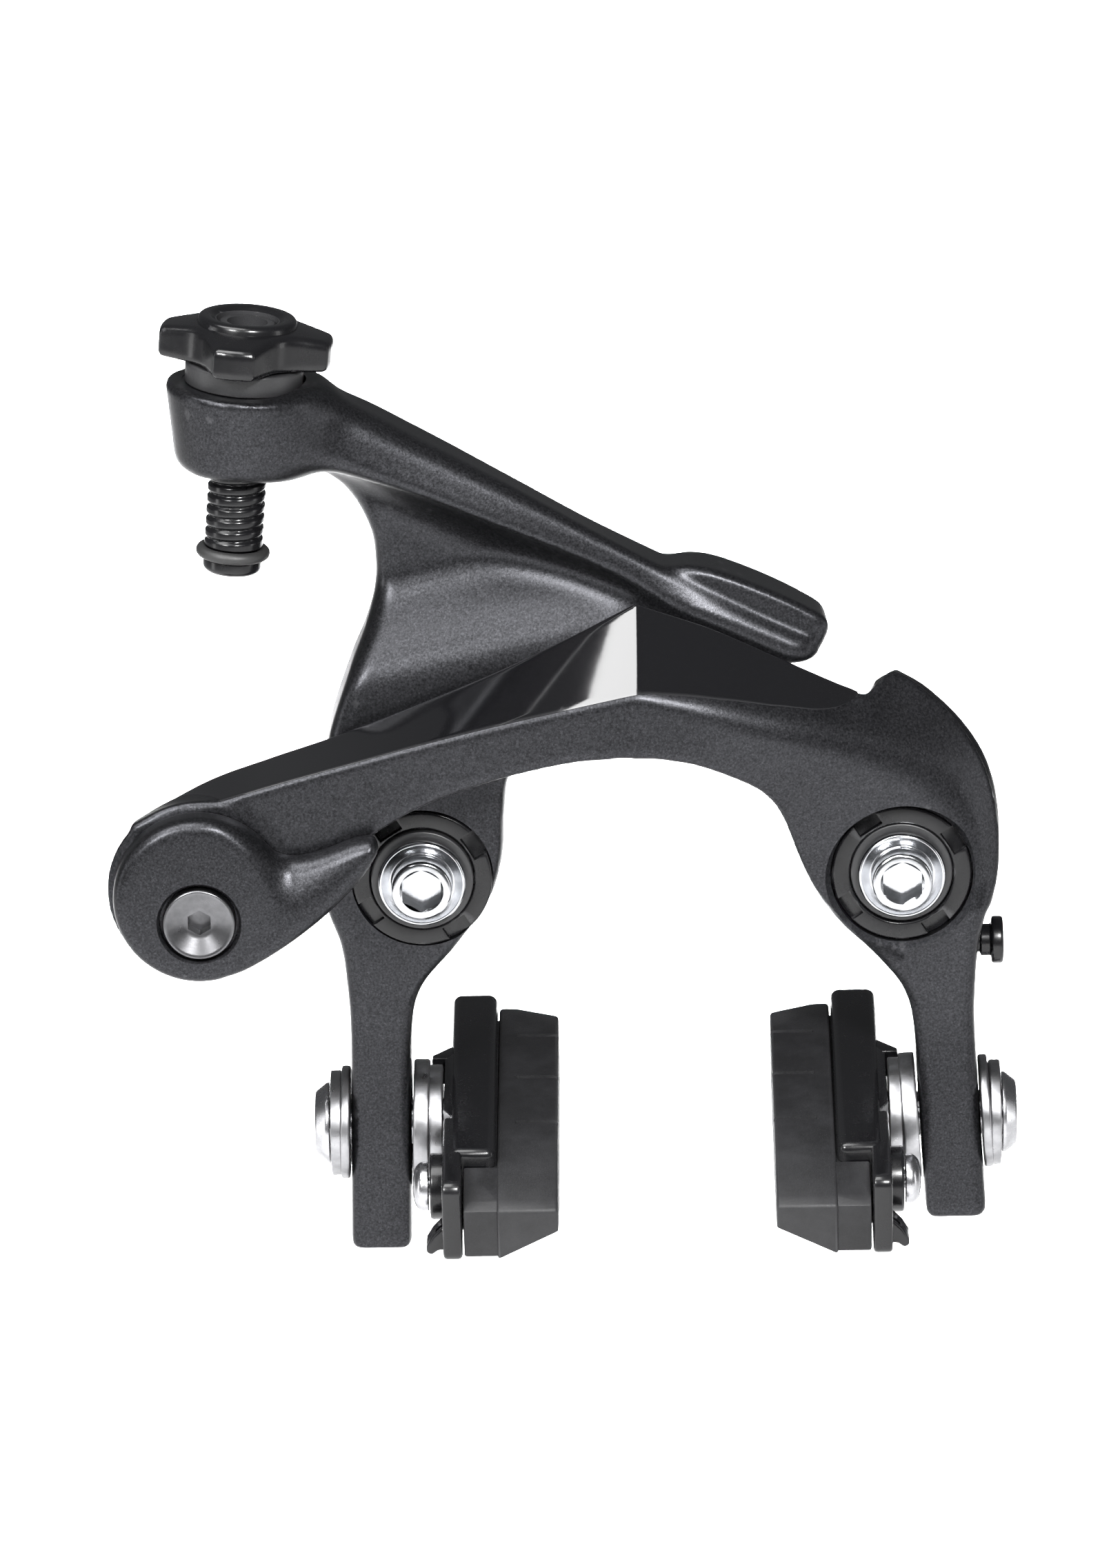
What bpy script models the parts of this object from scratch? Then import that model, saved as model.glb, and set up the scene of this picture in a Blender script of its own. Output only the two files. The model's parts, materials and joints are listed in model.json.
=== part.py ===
"""A direct-mount, dual-pivot rim brake caliper for a bicycle, built as separate pieces.

Frame: origin midway between the two mounting bolts, on the plane of the fork's bosses. +Z is up, +X is to
the right as seen from the front, and the caliper stands in front of that plane, towards -Y.
Lengths are in millimetres until put_in_scene() scales them to metres. A point is (x, forward, z), where
forward is the distance in front of the mounting plane, so forward = -y.
"""

import math

import bmesh
import bpy
from mathutils import Matrix, Vector

MM = 0.001
MERGE = 0.00001

# Driving dimensions
PIVOT_SPACING = 62.0
SHOE_DROP = 35.6  # shoe bolts below the pivots
ARM_RISE = 61.4  # middle of the cable stop above the pivots
PAD_GAP = 28.1  # between the braking faces, brake released

# Pivots
SLEEVE_BORE_R = 3.2
SLEEVE_R = 5.0
SLEEVE_LENGTH = 16.4
FLANGE_R = 7.6
FLANGE_THICK = 1.6
BOLT_R = 3.0
BOLT_REACH = 15.0  # thread that stands out behind the mounting plane
BOLT_HEAD_R = 3.9
BOLT_HEAD_HEIGHT = 2.8
BOLT_COLLAR_R = 5.7
BOLT_COLLAR_HEIGHT = 1.3
MOUNT_HEX = 5.0
BUSH_WALL = 1.3
RUNNING_GAP = 0.08
FIT_GAP = 0.3
SEAT_GAP = 0.2
RING_WIDTH = 2.7
RING_THICK = 2.6
RING_NOTCHES = 4
RING_NOTCH_ANGLE = 33.0
RING_NOTCH_WIDTH = 3.4
SEAL_THICK = 0.7

# Depths of the two arms, measured forward of the mounting plane
ARM_BACK = 2.6
LEFT_FACE = 16.2
RIGHT_FACE = 17.2
ARCH_BACK = 16.9
ARCH_FACE = 27.0
LEG_FACE = 15.6
LEG_BACK = 3.2
TOP_SLOPE = 0.3

# Legs and shoe slots
LEG_THICK = 7.9
LEFT_LEG_LEAN = 1.2
RIGHT_LEG_LEAN = 3.1
LEG_BELOW_SHOE = 15.9
RIGHT_LEG_SHORTER = 3.2
SLOT_TRAVEL = 3.0
SLOT_CLEARANCE = 0.35

# Return springs, in a counterbore at the back of each arm
SPRING_WIRE_R = 0.6
SPRING_TURNS = 2
SPRING_POCKET_R = 8.6
SPRING_POCKET_DEEP = 5.6

# Cable adjuster, on an axis that leans in the plane of the arms
ADJUSTER_FORWARD = 16.0
ADJUSTER_LEAN = 5.2
STUD_R = 3.75
STUD_BORE_R = 2.6
THREAD_PITCH = 1.5
THREAD_DEPTH = 0.45
STUD_BELOW_BOSS = 13.8
BOSS_TOP_R = 10.0
BOSS_BOTTOM_R = 8.0
BOSS_HEIGHT = 11.0
COLLAR_R = 7.6
COLLAR_HEIGHT = 2.9
DIAL_TIP_R = 11.1
DIAL_VALLEY_R = 7.6
DIAL_TIP_WIDTH = 5.1
DIAL_THICK = 4.9
DIAL_LOBES = 4
DIAL_TURN = -6.3
HUB_R = 6.5
HUB_HEIGHT = 1.0
O_RING_R = 0.75

# Quick release on the left end of the right arm
END_R = 12.1
END_BACK_R = 9.6
LEVER_R = 11.0
LEVER_THICK = 5.0
ECCENTRICITY = 2.8
HUB_SHAFT_R = 7.5
HUB_GAP = 0.2
ANCHOR_BOLT_R = 2.5
ANCHOR_HEAD_R = 4.7
ANCHOR_HEAD_SEAT = 2.0
ANCHOR_HEX = 2.9
CLAMP_R = 5.2
CLAMP_THICK = 1.6
ANCHOR_NUT_ACROSS = 8.0
ANCHOR_NUT_THICK = 3.0

# Synchronising roller behind the arch, and how far the arms swing from rest, in degrees
ARM_SWING = 10.0
ROLLER_R = 3.0
ROLLER_LENGTH = 5.0
ROLLER_PIN_R = 1.5
ROLLER_Z = 26.0
TRACK_DEEP = 7.0
TRACK_SPARE = 1.0  # degrees
TRACK_GAP = 0.35

# Centring screw
CENTRING_Z = -11.5
CENTRING_FORWARD = 10.0
CENTRING_R = 1.6
CENTRING_HEAD_R = 3.1
CENTRING_HEAD_THICK = 1.5
CENTRING_NECK_R = 2.1
CENTRING_STICKS_OUT = 3.4

# Shoes
SHOE_LENGTH = 54.0
SHOE_TILT = 8.0
SHOE_FORWARD = 11.0
SHOE_HEIGHT = 12.0
SLOT_FORWARD = 9.4
PAD_ABOVE = 4.0
PAD_BELOW = 6.1
PAD_END_GAP = 1.4
PAD_BODY = 7.9
PAD_RAIL_HEIGHT = 6.6
PAD_RAIL_DEEP = 1.4
HOLDER_THICK = 5.9
NOSE_OUT = 4.3
HOLDER_WALL = 2.5
WALL_BACK_END = -8.0
NOSE_LENGTH = 8.6
NOSE_DROP = 1.4
NOSE_CHAMFER_WIDE = 10.0
NOSE_CHAMFER_HIGH = 5.2
NOSE_CHAMFER_LONG = 17.0
SHOE_BOLT_R = 2.9
SHOE_BOLT_GRIP = 5.0
CUP_HOLE_GAP = 0.8
SHOE_BOSS_R = 6.9
SHOE_BOSS_ROOT_R = 8.4
SHOE_BOSS_REACH = 0.9
GROOVE_WIDTH = 0.7
GROOVE_DEEP = 5.6
GROOVES_FROM_BACK = (9.2, 21.0, 33.6)
INNER_CUP_R = 8.6
INNER_CUP_THICK = 1.9
BALL_WASHER_R = 6.9
BALL_WASHER_THICK = 1.6
OUTER_CUP_R = 7.4
OUTER_CUP_THICK = 1.2
OUTER_BALL_R = 6.7
OUTER_BALL_THICK = 1.1
SHOE_HEAD_R = 5.3
SHOE_HEAD_THICK = 2.1
SHOE_HEX = 4.0
PAD_SCREW_R = 3.2
PAD_SCREW_THICK = 2.0
PAD_SCREW_SHANK_R = 1.2
PAD_SCREW_HEX = 2.0
PAD_SCREW_FROM_CENTRE = 16.4
SCREW_BOSS_R = 4.3
SCREW_BOSS_REACH = 1.7
FIN_REACH = 2.4
FLARE_REACH = 1.7
FLARE_BACK_END = 12.0

# Smoothness
TURNED_STEPS = 20
SMALL_STEPS = 12
ARC_STEPS = 2

PIVOT_X = PIVOT_SPACING / 2
SHOE_Z = -SHOE_DROP
PAD_X = PAD_GAP / 2
BUSH_R = SLEEVE_R + RUNNING_GAP + BUSH_WALL
RING_R = BUSH_R + RING_WIDTH
RING_SEAT_R = RING_R + FIT_GAP / 2
PAD_BASE_X = PAD_X + PAD_BODY
HOLDER_X = PAD_BASE_X + SEAT_GAP
HOLDER_BACK_X = HOLDER_X + HOLDER_THICK
WALL_IN_X = PAD_BASE_X + NOSE_OUT + SEAT_GAP
HOLDER_OUT_X = WALL_IN_X + HOLDER_WALL
SHOE_BOSS_X = HOLDER_BACK_X + SHOE_BOSS_REACH
LEG_IN_X = SHOE_BOSS_X + BALL_WASHER_THICK + INNER_CUP_THICK + 3 * SEAT_GAP

# The arms' outlines are drawn for these sizes, and follow the driving dimensions when those change.
DRAWN_PIVOT_X = 31.0
DRAWN_RISE = 61.4
DRAWN_DROP = 35.6
DRAWN_LEG_X = 33.2
LEG_FROM = -5.0
LEG_WHOLLY_FROM = -16.0
RISE_FROM = 30.0


def across(x):
    """A drawn x between the pivots stretches with their spacing; beyond them it moves with the pivot."""
    if abs(x) <= DRAWN_PIVOT_X:
        return x * PIVOT_X / DRAWN_PIVOT_X
    return x + (PIVOT_X - DRAWN_PIVOT_X) * math.copysign(1, x)


def upright(z):
    """A drawn z above the arch follows the rise of the cable stop, and one down a leg follows the shoes."""
    if z > RISE_FROM:
        return z + (ARM_RISE - DRAWN_RISE) * (z - RISE_FROM) / (DRAWN_RISE - RISE_FROM)
    if z < -DRAWN_DROP:
        return z - (SHOE_DROP - DRAWN_DROP)
    return z * SHOE_DROP / DRAWN_DROP if z < -DRAWN_DROP / 2 else z


def drawn(x, forward, z):
    return Vector((across(x), -forward, upright(z)))


def drawn_leg(x, forward, z):
    """As drawn(), but below the pivot the point comes to follow the shoe's place instead of the pivot's."""
    share = min(1, max(0, (LEG_FROM - z) / (LEG_FROM - LEG_WHOLLY_FROM)))
    on_leg = x + (LEG_IN_X - DRAWN_LEG_X) * math.copysign(1, x)
    return Vector((across(x) * (1 - share) + on_leg * share, -forward, upright(z)))


def leg_rows(side, lean, shorter):
    """The straight lower leg: (inner x, outer x, z) at its top, at the shoe and at its foot."""
    rows = []
    for z in (-22.4, -DRAWN_DROP, shorter - DRAWN_DROP - LEG_BELOW_SHOE):
        inner = DRAWN_LEG_X - (z + DRAWN_DROP) * math.tan(math.radians(lean))
        rows.append((side * inner, side * (inner + LEG_THICK), z))
    return rows


def rotation_to(axis):
    return Vector((0, 0, 1)).rotation_difference(Vector(axis).normalized()).to_matrix().to_4x4()


# ---------------------------------------------------------------- scene and materials


def clear_scene():
    for obj in list(bpy.data.objects):
        bpy.data.objects.remove(obj, do_unlink=True)


def new_collection(name):
    collection = bpy.data.collections.new(name)
    bpy.context.scene.collection.children.link(collection)
    return collection


def material(name, colour, roughness, metallic):
    made = bpy.data.materials.new(name)
    made.use_nodes = True
    shader = made.node_tree.nodes["Principled BSDF"]
    shader.inputs["Base Color"].default_value = (*colour, 1)
    shader.inputs["Roughness"].default_value = roughness
    shader.inputs["Metallic"].default_value = metallic
    return made


clear_scene()
PARTS = new_collection("rim_brake_caliper")
CUTTERS = new_collection("cutters")
ANODISED = material("anodised_grey", (0.045, 0.046, 0.05), 0.42, 0.6)
BLACK = material("gloss_black", (0.012, 0.012, 0.013), 0.2, 0.0)
PLASTIC = material("black_plastic", (0.02, 0.02, 0.021), 0.5, 0.0)
RUBBER = material("pad_rubber", (0.05, 0.05, 0.053), 0.6, 0.0)
CHROME = material("chrome", (0.75, 0.76, 0.78), 0.12, 1.0)
ZINC = material("zinc_steel", (0.5, 0.5, 0.51), 0.35, 1.0)
BRONZE = material("bronze", (0.5, 0.33, 0.16), 0.4, 1.0)
SPRING_STEEL = material("spring_steel", (0.1, 0.1, 0.105), 0.35, 1.0)


# ---------------------------------------------------------------- building tools


def put_in_scene(name, mesh, look, matrix=None):
    """Makes an object of a mesh drawn in millimetres. A look of None makes a cutter or other helper."""
    mesh.transform(Matrix.Scale(MM, 4))
    obj = bpy.data.objects.new(name, mesh)
    if matrix is not None:
        placed = matrix.copy()
        placed.translation *= MM
        obj.matrix_world = placed
    if look is None:
        obj.hide_render = True
        obj.display_type = "WIRE"
        CUTTERS.objects.link(obj)
    else:
        mesh.materials.append(look)
        PARTS.objects.link(obj)
    return obj


def mesh_of(name, body):
    bmesh.ops.recalc_face_normals(body, faces=body.faces)
    mesh = bpy.data.meshes.new(name)
    body.to_mesh(mesh)
    body.free()
    mesh.shade_smooth()
    mesh.set_sharp_from_angle(angle=math.radians(35))
    return mesh


def at(x, forward, z, axis=(0, -1, 0)):
    """Places a piece whose own +Z runs along axis."""
    return Matrix.Translation((x, -forward, z)) @ rotation_to(axis)


def turned(name, profile, matrix, look, steps=TURNED_STEPS):
    """Revolves a profile of (radius, height) about its own Z. Its outer side runs from top to bottom."""
    mesh = bpy.data.meshes.new(name)
    closed = min(r for r, _ in profile) > 0
    count = len(profile)
    edges = [(i, (i + 1) % count) for i in range(count if closed else count - 1)]
    mesh.from_pydata([(r, 0, h) for r, h in profile], edges, [])
    obj = put_in_scene(name, mesh, look, matrix)
    screw = obj.modifiers.new("turn", "SCREW")
    screw.steps = steps
    screw.render_steps = steps
    screw.use_merge_vertices = True
    screw.merge_threshold = MERGE
    screw.use_smooth_shade = True
    return obj


def tube_profile(outer, inner, low, high, chamfer=0.0):
    return [
        (inner, high),
        (outer - chamfer, high),
        (outer, high - chamfer),
        (outer, low + chamfer),
        (outer - chamfer, low),
        (inner, low),
    ] if chamfer else [(inner, high), (outer, high), (outer, low), (inner, low)]


def prism(name, outline, low, high, matrix, look):
    """Extrudes a closed outline of (x, y) from low to high along its own Z."""
    body = bmesh.new()
    floor = body.faces.new([body.verts.new((x, y, low)) for x, y in outline])
    top = bmesh.ops.extrude_face_region(body, geom=[floor])
    raised = [v for v in top["geom"] if isinstance(v, bmesh.types.BMVert)]
    bmesh.ops.translate(body, verts=raised, vec=(0, 0, high - low))
    return put_in_scene(name, mesh_of(name, body), look, matrix)


def block(name, low, high, look, matrix=None):
    body = bmesh.new()
    low, high = Vector(low), Vector(high)
    middle = Matrix.Translation((low + high) / 2)
    bmesh.ops.create_cube(body, size=1, matrix=middle @ Matrix.Diagonal((*(high - low), 1)))
    return put_in_scene(name, mesh_of(name, body), look, matrix)


def cylinder(name, radius, low, high, matrix, look=None, sides=TURNED_STEPS, top_radius=None):
    body = bmesh.new()
    bmesh.ops.create_cone(
        body,
        cap_ends=True,
        segments=sides,
        radius1=radius,
        radius2=radius if top_radius is None else top_radius,
        depth=high - low,
        matrix=Matrix.Translation((0, 0, (low + high) / 2)),
    )
    return put_in_scene(name, mesh_of(name, body), look, matrix)


def hex_cutter(name, across_flats, low, high, matrix):
    return cylinder(name, across_flats / math.sqrt(3), low, high, matrix, sides=6)


def arc(centre, radius, start, end, count):
    """Points on a circle, from start to end in degrees."""
    angles = [math.radians(start + (end - start) * i / (count - 1)) for i in range(count)]
    return [(centre[0] + radius * math.cos(a), centre[1] + radius * math.sin(a)) for a in angles]


def combine(obj, other, operation):
    step = obj.modifiers.new(operation.lower(), "BOOLEAN")
    step.operation = operation
    step.object = other
    step.solver = "EXACT"
    return obj


def cut(obj, *cutters):
    for cutter in cutters:
        combine(obj, cutter, "DIFFERENCE")
    return obj


def join(obj, *others):
    for other in others:
        combine(obj, other, "UNION")
    return obj


def bevel(obj, width, segments=2, angle=40):
    step = obj.modifiers.new("bevel", "BEVEL")
    step.width = width * MM
    step.segments = segments
    step.limit_method = "ANGLE"
    step.angle_limit = math.radians(angle)
    step.use_clamp_overlap = True
    return obj


def spline_point(points, t):
    """A Catmull-Rom curve through the points, at t from 0 to 1."""
    last = len(points) - 1
    i = min(int(t * last), last - 1)
    u = t * last - i
    b, c = points[i], points[i + 1]
    a = points[i - 1] if i else b * 2 - c
    d = points[i + 2] if i + 2 <= last else c * 2 - b
    return (b * 2 + (c - a) * u + (a * 2 - b * 5 + c * 4 - d) * u * u + (b * 3 - a - c * 3 + d) * u**3) / 2


def rounded(section, radii, steps):
    """Rounds each corner of a section by its own radius, which its shorter side limits."""
    points = []
    count = len(section)
    for i, corner in enumerate(section):
        before, after = section[i - 1] - corner, section[(i + 1) % count] - corner
        reach = min(radii[i], 0.45 * before.length, 0.45 * after.length)
        start, end = corner + before.normalized() * reach, corner + after.normalized() * reach
        for k in range(steps + 1):
            u = k / steps
            points.append(start * (1 - u) ** 2 + corner * (2 * u * (1 - u)) + end * u * u)
    return points


def loft(name, stations, radii, samples, look, steps=ARC_STEPS):
    """A solid through stations, each a list of the section's corners. The section's corners are rounded."""
    rails = list(zip(*stations))
    body = bmesh.new()
    rings = []
    for s in range(samples + 1):
        section = [spline_point(rail, s / samples) for rail in rails]
        rings.append([body.verts.new(p) for p in rounded(section, radii, steps)])
    for ring, following in zip(rings, rings[1:]):
        for i in range(len(ring)):
            body.faces.new((ring[i - 1], ring[i], following[i], following[i - 1]))
    body.faces.new(rings[0])
    body.faces.new(rings[-1][::-1])
    return put_in_scene(name, mesh_of(name, body), look)


# ---------------------------------------------------------------- pivots


def pivot_pieces(side, x, face):
    """The sleeve and bolt that stay with the fork, and the bush, ring nut and seal that turn with the arm."""
    place = at(x, 0, 0)
    sleeve = [
        (SLEEVE_BORE_R, SLEEVE_LENGTH),
        (SLEEVE_R, SLEEVE_LENGTH),
        (SLEEVE_R, FLANGE_THICK),
        (FLANGE_R, FLANGE_THICK),
        (FLANGE_R, 0),
        (SLEEVE_BORE_R, 0),
    ]
    turned(f"{side}_pivot_sleeve", sleeve, place, ZINC)

    seat = SLEEVE_LENGTH + FIT_GAP
    head = seat + BOLT_COLLAR_HEIGHT
    top = head + BOLT_HEAD_HEIGHT
    bolt = [
        (0, top),
        (BOLT_HEAD_R - 0.5, top),
        (BOLT_HEAD_R, top - 0.5),
        (BOLT_HEAD_R, head - 0.6),
        (BOLT_COLLAR_R - 0.9, head - 0.3),
        (BOLT_COLLAR_R - 0.3, head),
        (BOLT_COLLAR_R, head - 0.3),
        (BOLT_COLLAR_R, seat),
        (BOLT_R, seat),
        (BOLT_R, 0.8 - BOLT_REACH),
        (BOLT_R - 0.8, -BOLT_REACH),
        (0, -BOLT_REACH),
    ]
    mount_bolt = turned(f"{side}_mount_bolt", bolt, place, CHROME)
    cut(mount_bolt, hex_cutter(f"{side}_mount_hex", MOUNT_HEX, top - 2.6, top + 1, place))

    low = ARM_BACK + SPRING_POCKET_DEEP
    high = face - RING_THICK - FIT_GAP
    inner = SLEEVE_R + RUNNING_GAP
    turned(f"{side}_pivot_bush", tube_profile(BUSH_R, inner, low, high), place, BRONZE)

    ring = turned(
        f"{side}_ring_nut",
        tube_profile(RING_R, SLEEVE_R + 1.7, face - RING_THICK, face - 0.6, 0.4),
        place,
        BLACK,
    )
    for n in range(RING_NOTCHES):
        turn = math.radians(RING_NOTCH_ANGLE + 360 / RING_NOTCHES * n)
        notch = block(
            f"{side}_ring_notch_{n + 1}",
            (BUSH_R + 0.7, -RING_NOTCH_WIDTH / 2, face - 1.6),
            (RING_R + 2, RING_NOTCH_WIDTH / 2, face + 1),
            None,
            place @ Matrix.Rotation(turn, 4, "Z"),
        )
        cut(ring, notch)

    turned(
        f"{side}_dust_ring",
        tube_profile(BUSH_R - 0.1, inner, high + 0.2, SLEEVE_LENGTH - 0.1),
        place,
        PLASTIC,
    )
    turned(
        f"{side}_pivot_seal",
        tube_profile(FLANGE_R - 0.4, SLEEVE_R + 0.3, FLANGE_THICK + 0.1, FLANGE_THICK + 0.1 + SEAL_THICK),
        place,
        PLASTIC,
    )


def pivot_cutters(side, x, face):
    """Bush bore, ring nut seat at the front and spring pocket at the back."""
    place = at(x, 0, 0)
    return [
        cylinder(f"{side}_bush_bore", BUSH_R + 0.05, -5, face + 15, place),
        cylinder(f"{side}_ring_seat", RING_SEAT_R, face - RING_THICK - FIT_GAP, face + 15, place),
        cylinder(f"{side}_spring_pocket", SPRING_POCKET_R, -5, ARM_BACK + SPRING_POCKET_DEEP, place),
    ]


def return_spring(side, x, turn_way):
    """A torsion spring round the sleeve: its coil turns in the pocket, and its tail lies in a groove."""
    coil_r = SLEEVE_R + 0.5 + SPRING_WIRE_R
    pitch = SPRING_WIRE_R * 2.35
    start = ARM_BACK + SPRING_POCKET_DEEP - 0.4 - SPRING_WIRE_R
    steps = 14 * SPRING_TURNS
    points = []
    for i in range(steps + 1):
        turned_by = turn_way * 2 * math.pi * SPRING_TURNS * i / steps
        points.append(Vector((
            x + coil_r * math.sin(turned_by),
            -(start - pitch * SPRING_TURNS * i / steps),
            -coil_r * math.cos(turned_by),
        )))
    tail = points[0]
    points.insert(0, tail + Vector((-turn_way * 3.0, 0, -0.4)))
    points.insert(0, tail + Vector((-turn_way * 6.2, 0, -1.6)))
    wire(f"{side}_return_spring", points, SPRING_WIRE_R, SPRING_STEEL)


def wire(name, points, radius, look):
    curve = bpy.data.curves.new(name, "CURVE")
    curve.dimensions = "3D"
    curve.bevel_depth = radius * MM
    curve.bevel_resolution = 1
    curve.use_fill_caps = True
    spline = curve.splines.new("POLY")
    spline.points.add(len(points) - 1)
    for point, place in zip(spline.points, points):
        point.co = (*(place * MM), 1)
    curve.materials.append(look)
    obj = bpy.data.objects.new(name, curve)
    PARTS.objects.link(obj)
    return obj


def spring_groove(side, x, turn_way):
    """Room for the spring's tail, from the pocket out into the arm."""
    coil_r = SLEEVE_R + 0.5 + SPRING_WIRE_R
    near, far = sorted((x, x - turn_way * 8.0))
    return block(
        f"{side}_spring_groove",
        (near, -(ARM_BACK + SPRING_POCKET_DEEP), -coil_r - 3.2),
        (far, 5, -coil_r + 1.6),
        None,
    )


# ---------------------------------------------------------------- left arm


def adjuster_axis():
    lean = math.radians(ADJUSTER_LEAN)
    return Vector((math.sin(lean), 0, math.cos(lean)))


def adjuster_place():
    """The middle of the cable stop's boss, with +Z up the adjuster."""
    return at(across(-52.6), ADJUSTER_FORWARD, ARM_RISE, adjuster_axis())


def beam_stations():
    """Sections of the upper beam, from the cable stop to the tab: crease, front top, back top, back below."""
    rows = [
        ((-56, 20.5, 57.4), (-56, 20.0, 65.4), (-56, 10.5, 64.6), (-56, 10.5, 57.4)),
        ((-48, 22.3, 57.8), (-47, 21.0, 66.1), (-46.5, 10.0, 65.4), (-48, 10.0, 56.6)),
        ((-41, 21.0, 56.4), (-40, 19.3, 64.8), (-39.5, 8.6, 64.0), (-41, 8.6, 53.2)),
        ((-31, 19.4, 52.9), (-30.5, 17.8, 59.4), (-30, 7.0, 58.6), (-31, 7.0, 48.6)),
        ((-20, 18.0, 48.0), (-19, 16.6, 52.9), (-18.6, 6.0, 51.6), (-20, 6.0, 43.4)),
        ((-10, 16.6, 43.2), (-9, 15.9, 46.9), (-8.6, 5.0, 45.4), (-10, 5.0, 38.4)),
        ((0, 15.8, 38.0), (0.6, 15.2, 41.4), (0.8, 4.6, 40.5), (0, 4.6, 33.4)),
        ((8, 15.7, 34.0), (8.6, 15.2, 40.2), (9.2, 4.4, 39.5), (8, 4.4, 30.0)),
        ((15.5, 15.6, 30.4), (16.4, 15.0, 36.9), (17, 4.4, 35.9), (15.5, 4.4, 27.2)),
        ((20.4, 15.4, 28.4), (22.4, 14.6, 33.2), (22.8, 4.6, 31.4), (20.4, 4.6, 26.6)),
    ]
    return [[drawn(*corner) for corner in row] for row in rows]


def web_stations():
    """Sections of the web and leg, from under the beam down to the foot.

    Each row is left x, left z, right x, right z, then how far forward the left edge, middle and right edge
    of the face stand.
    """
    rows = [
        (-45.0, 57.0, 18.0, 29.0, 17.0, 12.0, 13.0),
        (-39.6, 50.0, 13.0, 23.0, 14.5, 11.0, 14.0),
        (-36.6, 43.6, 2.0, 20.4, 12.5, 11.6, 15.4),
        (-36.6, 35.4, -8.0, 19.2, 13.4, 13.8, 15.6),
        (-39.9, 27.0, -15.0, 17.4, 14.6, 15.5, 15.8),
        (-42.8, 18.0, -19.2, 13.8, 15.6, 16.0, 16.0),
        (-43.9, 8.0, -20.2, 8.0, LEFT_FACE, LEFT_FACE, LEFT_FACE),
        (-44.2, 0.0, -20.6, 2.2, LEFT_FACE, LEFT_FACE, LEFT_FACE),
        (-43.4, -5.0, -22.4, -3.6, LEFT_FACE, LEFT_FACE, LEFT_FACE),
        (-41.8, -9.8, -26.8, -9.8, LEFT_FACE, LEFT_FACE, LEFT_FACE),
        (-41.1, -16.0, -31.5, -15.6, 15.9, 15.9, 15.9),
    ]
    for inner_x, outer_x, z in leg_rows(-1, LEFT_LEG_LEAN, 0):
        rows.append((outer_x, z, inner_x, z, LEG_FACE, LEG_FACE, LEG_FACE))
    stations = []
    for n, (left_x, left_z, right_x, right_z, left_f, middle_f, right_f) in enumerate(rows):
        back = 4.4 if n < 3 else (LEG_BACK if n > 10 else ARM_BACK)
        stations.append([
            drawn_leg(left_x, left_f, left_z),
            drawn_leg((left_x + right_x) / 2, middle_f, (left_z + right_z) / 2),
            drawn_leg(right_x, right_f, right_z),
            drawn_leg(right_x, back, right_z),
            drawn_leg(left_x, back, left_z),
        ])
    return stations


def shoe_slot(side, x):
    """Upright slot through a leg for the shoe bolt."""
    radius = SHOE_BOLT_R + SLOT_CLEARANCE
    ends = arc((SLOT_TRAVEL, 0), radius, -90, 90, 9) + arc((-SLOT_TRAVEL, 0), radius, 90, 270, 9)
    outline = [(-forward, z) for z, forward in ends]
    place = Matrix.Translation((x, -SLOT_FORWARD, SHOE_Z)) @ Matrix.Rotation(math.pi / 2, 4, "Y") @ Matrix.Rotation(
        math.pi / 2, 4, "Z"
    )
    return prism(f"{side}_shoe_slot", outline, -12, 12, place, None)


def roller_track():
    """Blind track for the roller: the path that the roller takes past the left arm as both arms turn."""
    low, high = -math.radians(TRACK_SPARE), math.radians(ARM_SWING + TRACK_SPARE)
    half = ROLLER_R + TRACK_GAP
    path = []
    for i in range(7):
        angle = low + (high - low) * i / 6
        sine, cosine = math.sin(angle), math.cos(angle)
        x = 2 * PIVOT_X - PIVOT_X * cosine + ROLLER_Z * sine
        z = PIVOT_X * sine + ROLLER_Z * cosine
        path.append((x * cosine + z * sine - PIVOT_X, z * cosine - x * sine))
    upper = [(x, z + half) for x, z in path]
    lower = [(x, z - half) for x, z in path]
    ends = arc(path[-1], half, 90, -90, 7)[1:-1], arc(path[0], half, 270, 90, 7)[1:-1]
    outline = upper + ends[0] + lower[::-1] + ends[1]
    place = Matrix.Rotation(math.pi / 2, 4, "X")
    return prism("roller_track", outline, ARCH_BACK - FIT_GAP - TRACK_DEEP, ARCH_BACK + 5, place, None)


def left_arm():
    beam = loft("left_arm", beam_stations(), (1.4, 3.2, 2.2, 2.0), 18, ANODISED)
    web = loft("left_arm_web", web_stations(), (1.4, 6.0, 1.4, 1.2, 1.2), 24, None)
    stop = adjuster_place()
    half = BOSS_HEIGHT / 2
    boss = cylinder("cable_stop_boss", BOSS_BOTTOM_R, -half, half, stop, top_radius=BOSS_TOP_R, sides=28)
    bevel(boss, 1.2, 2)
    join(beam, web, boss)
    cut(beam, cylinder("adjuster_hole", STUD_R + 0.25, -half - 4, half + 9, stop))
    cut(beam, cylinder("dial_room", DIAL_TIP_R + 0.8, half + COLLAR_HEIGHT, half + 20, stop))
    cut(beam, cylinder("collar_room", COLLAR_R + 0.3, half, half + 20, stop))
    cut(beam, *pivot_cutters("left", -PIVOT_X, LEFT_FACE))
    cut(beam, spring_groove("left", -PIVOT_X, 1))
    cut(beam, shoe_slot("left", -LEG_IN_X - LEG_THICK / 2))
    cut(beam, roller_track())


# ---------------------------------------------------------------- cable adjuster


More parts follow.
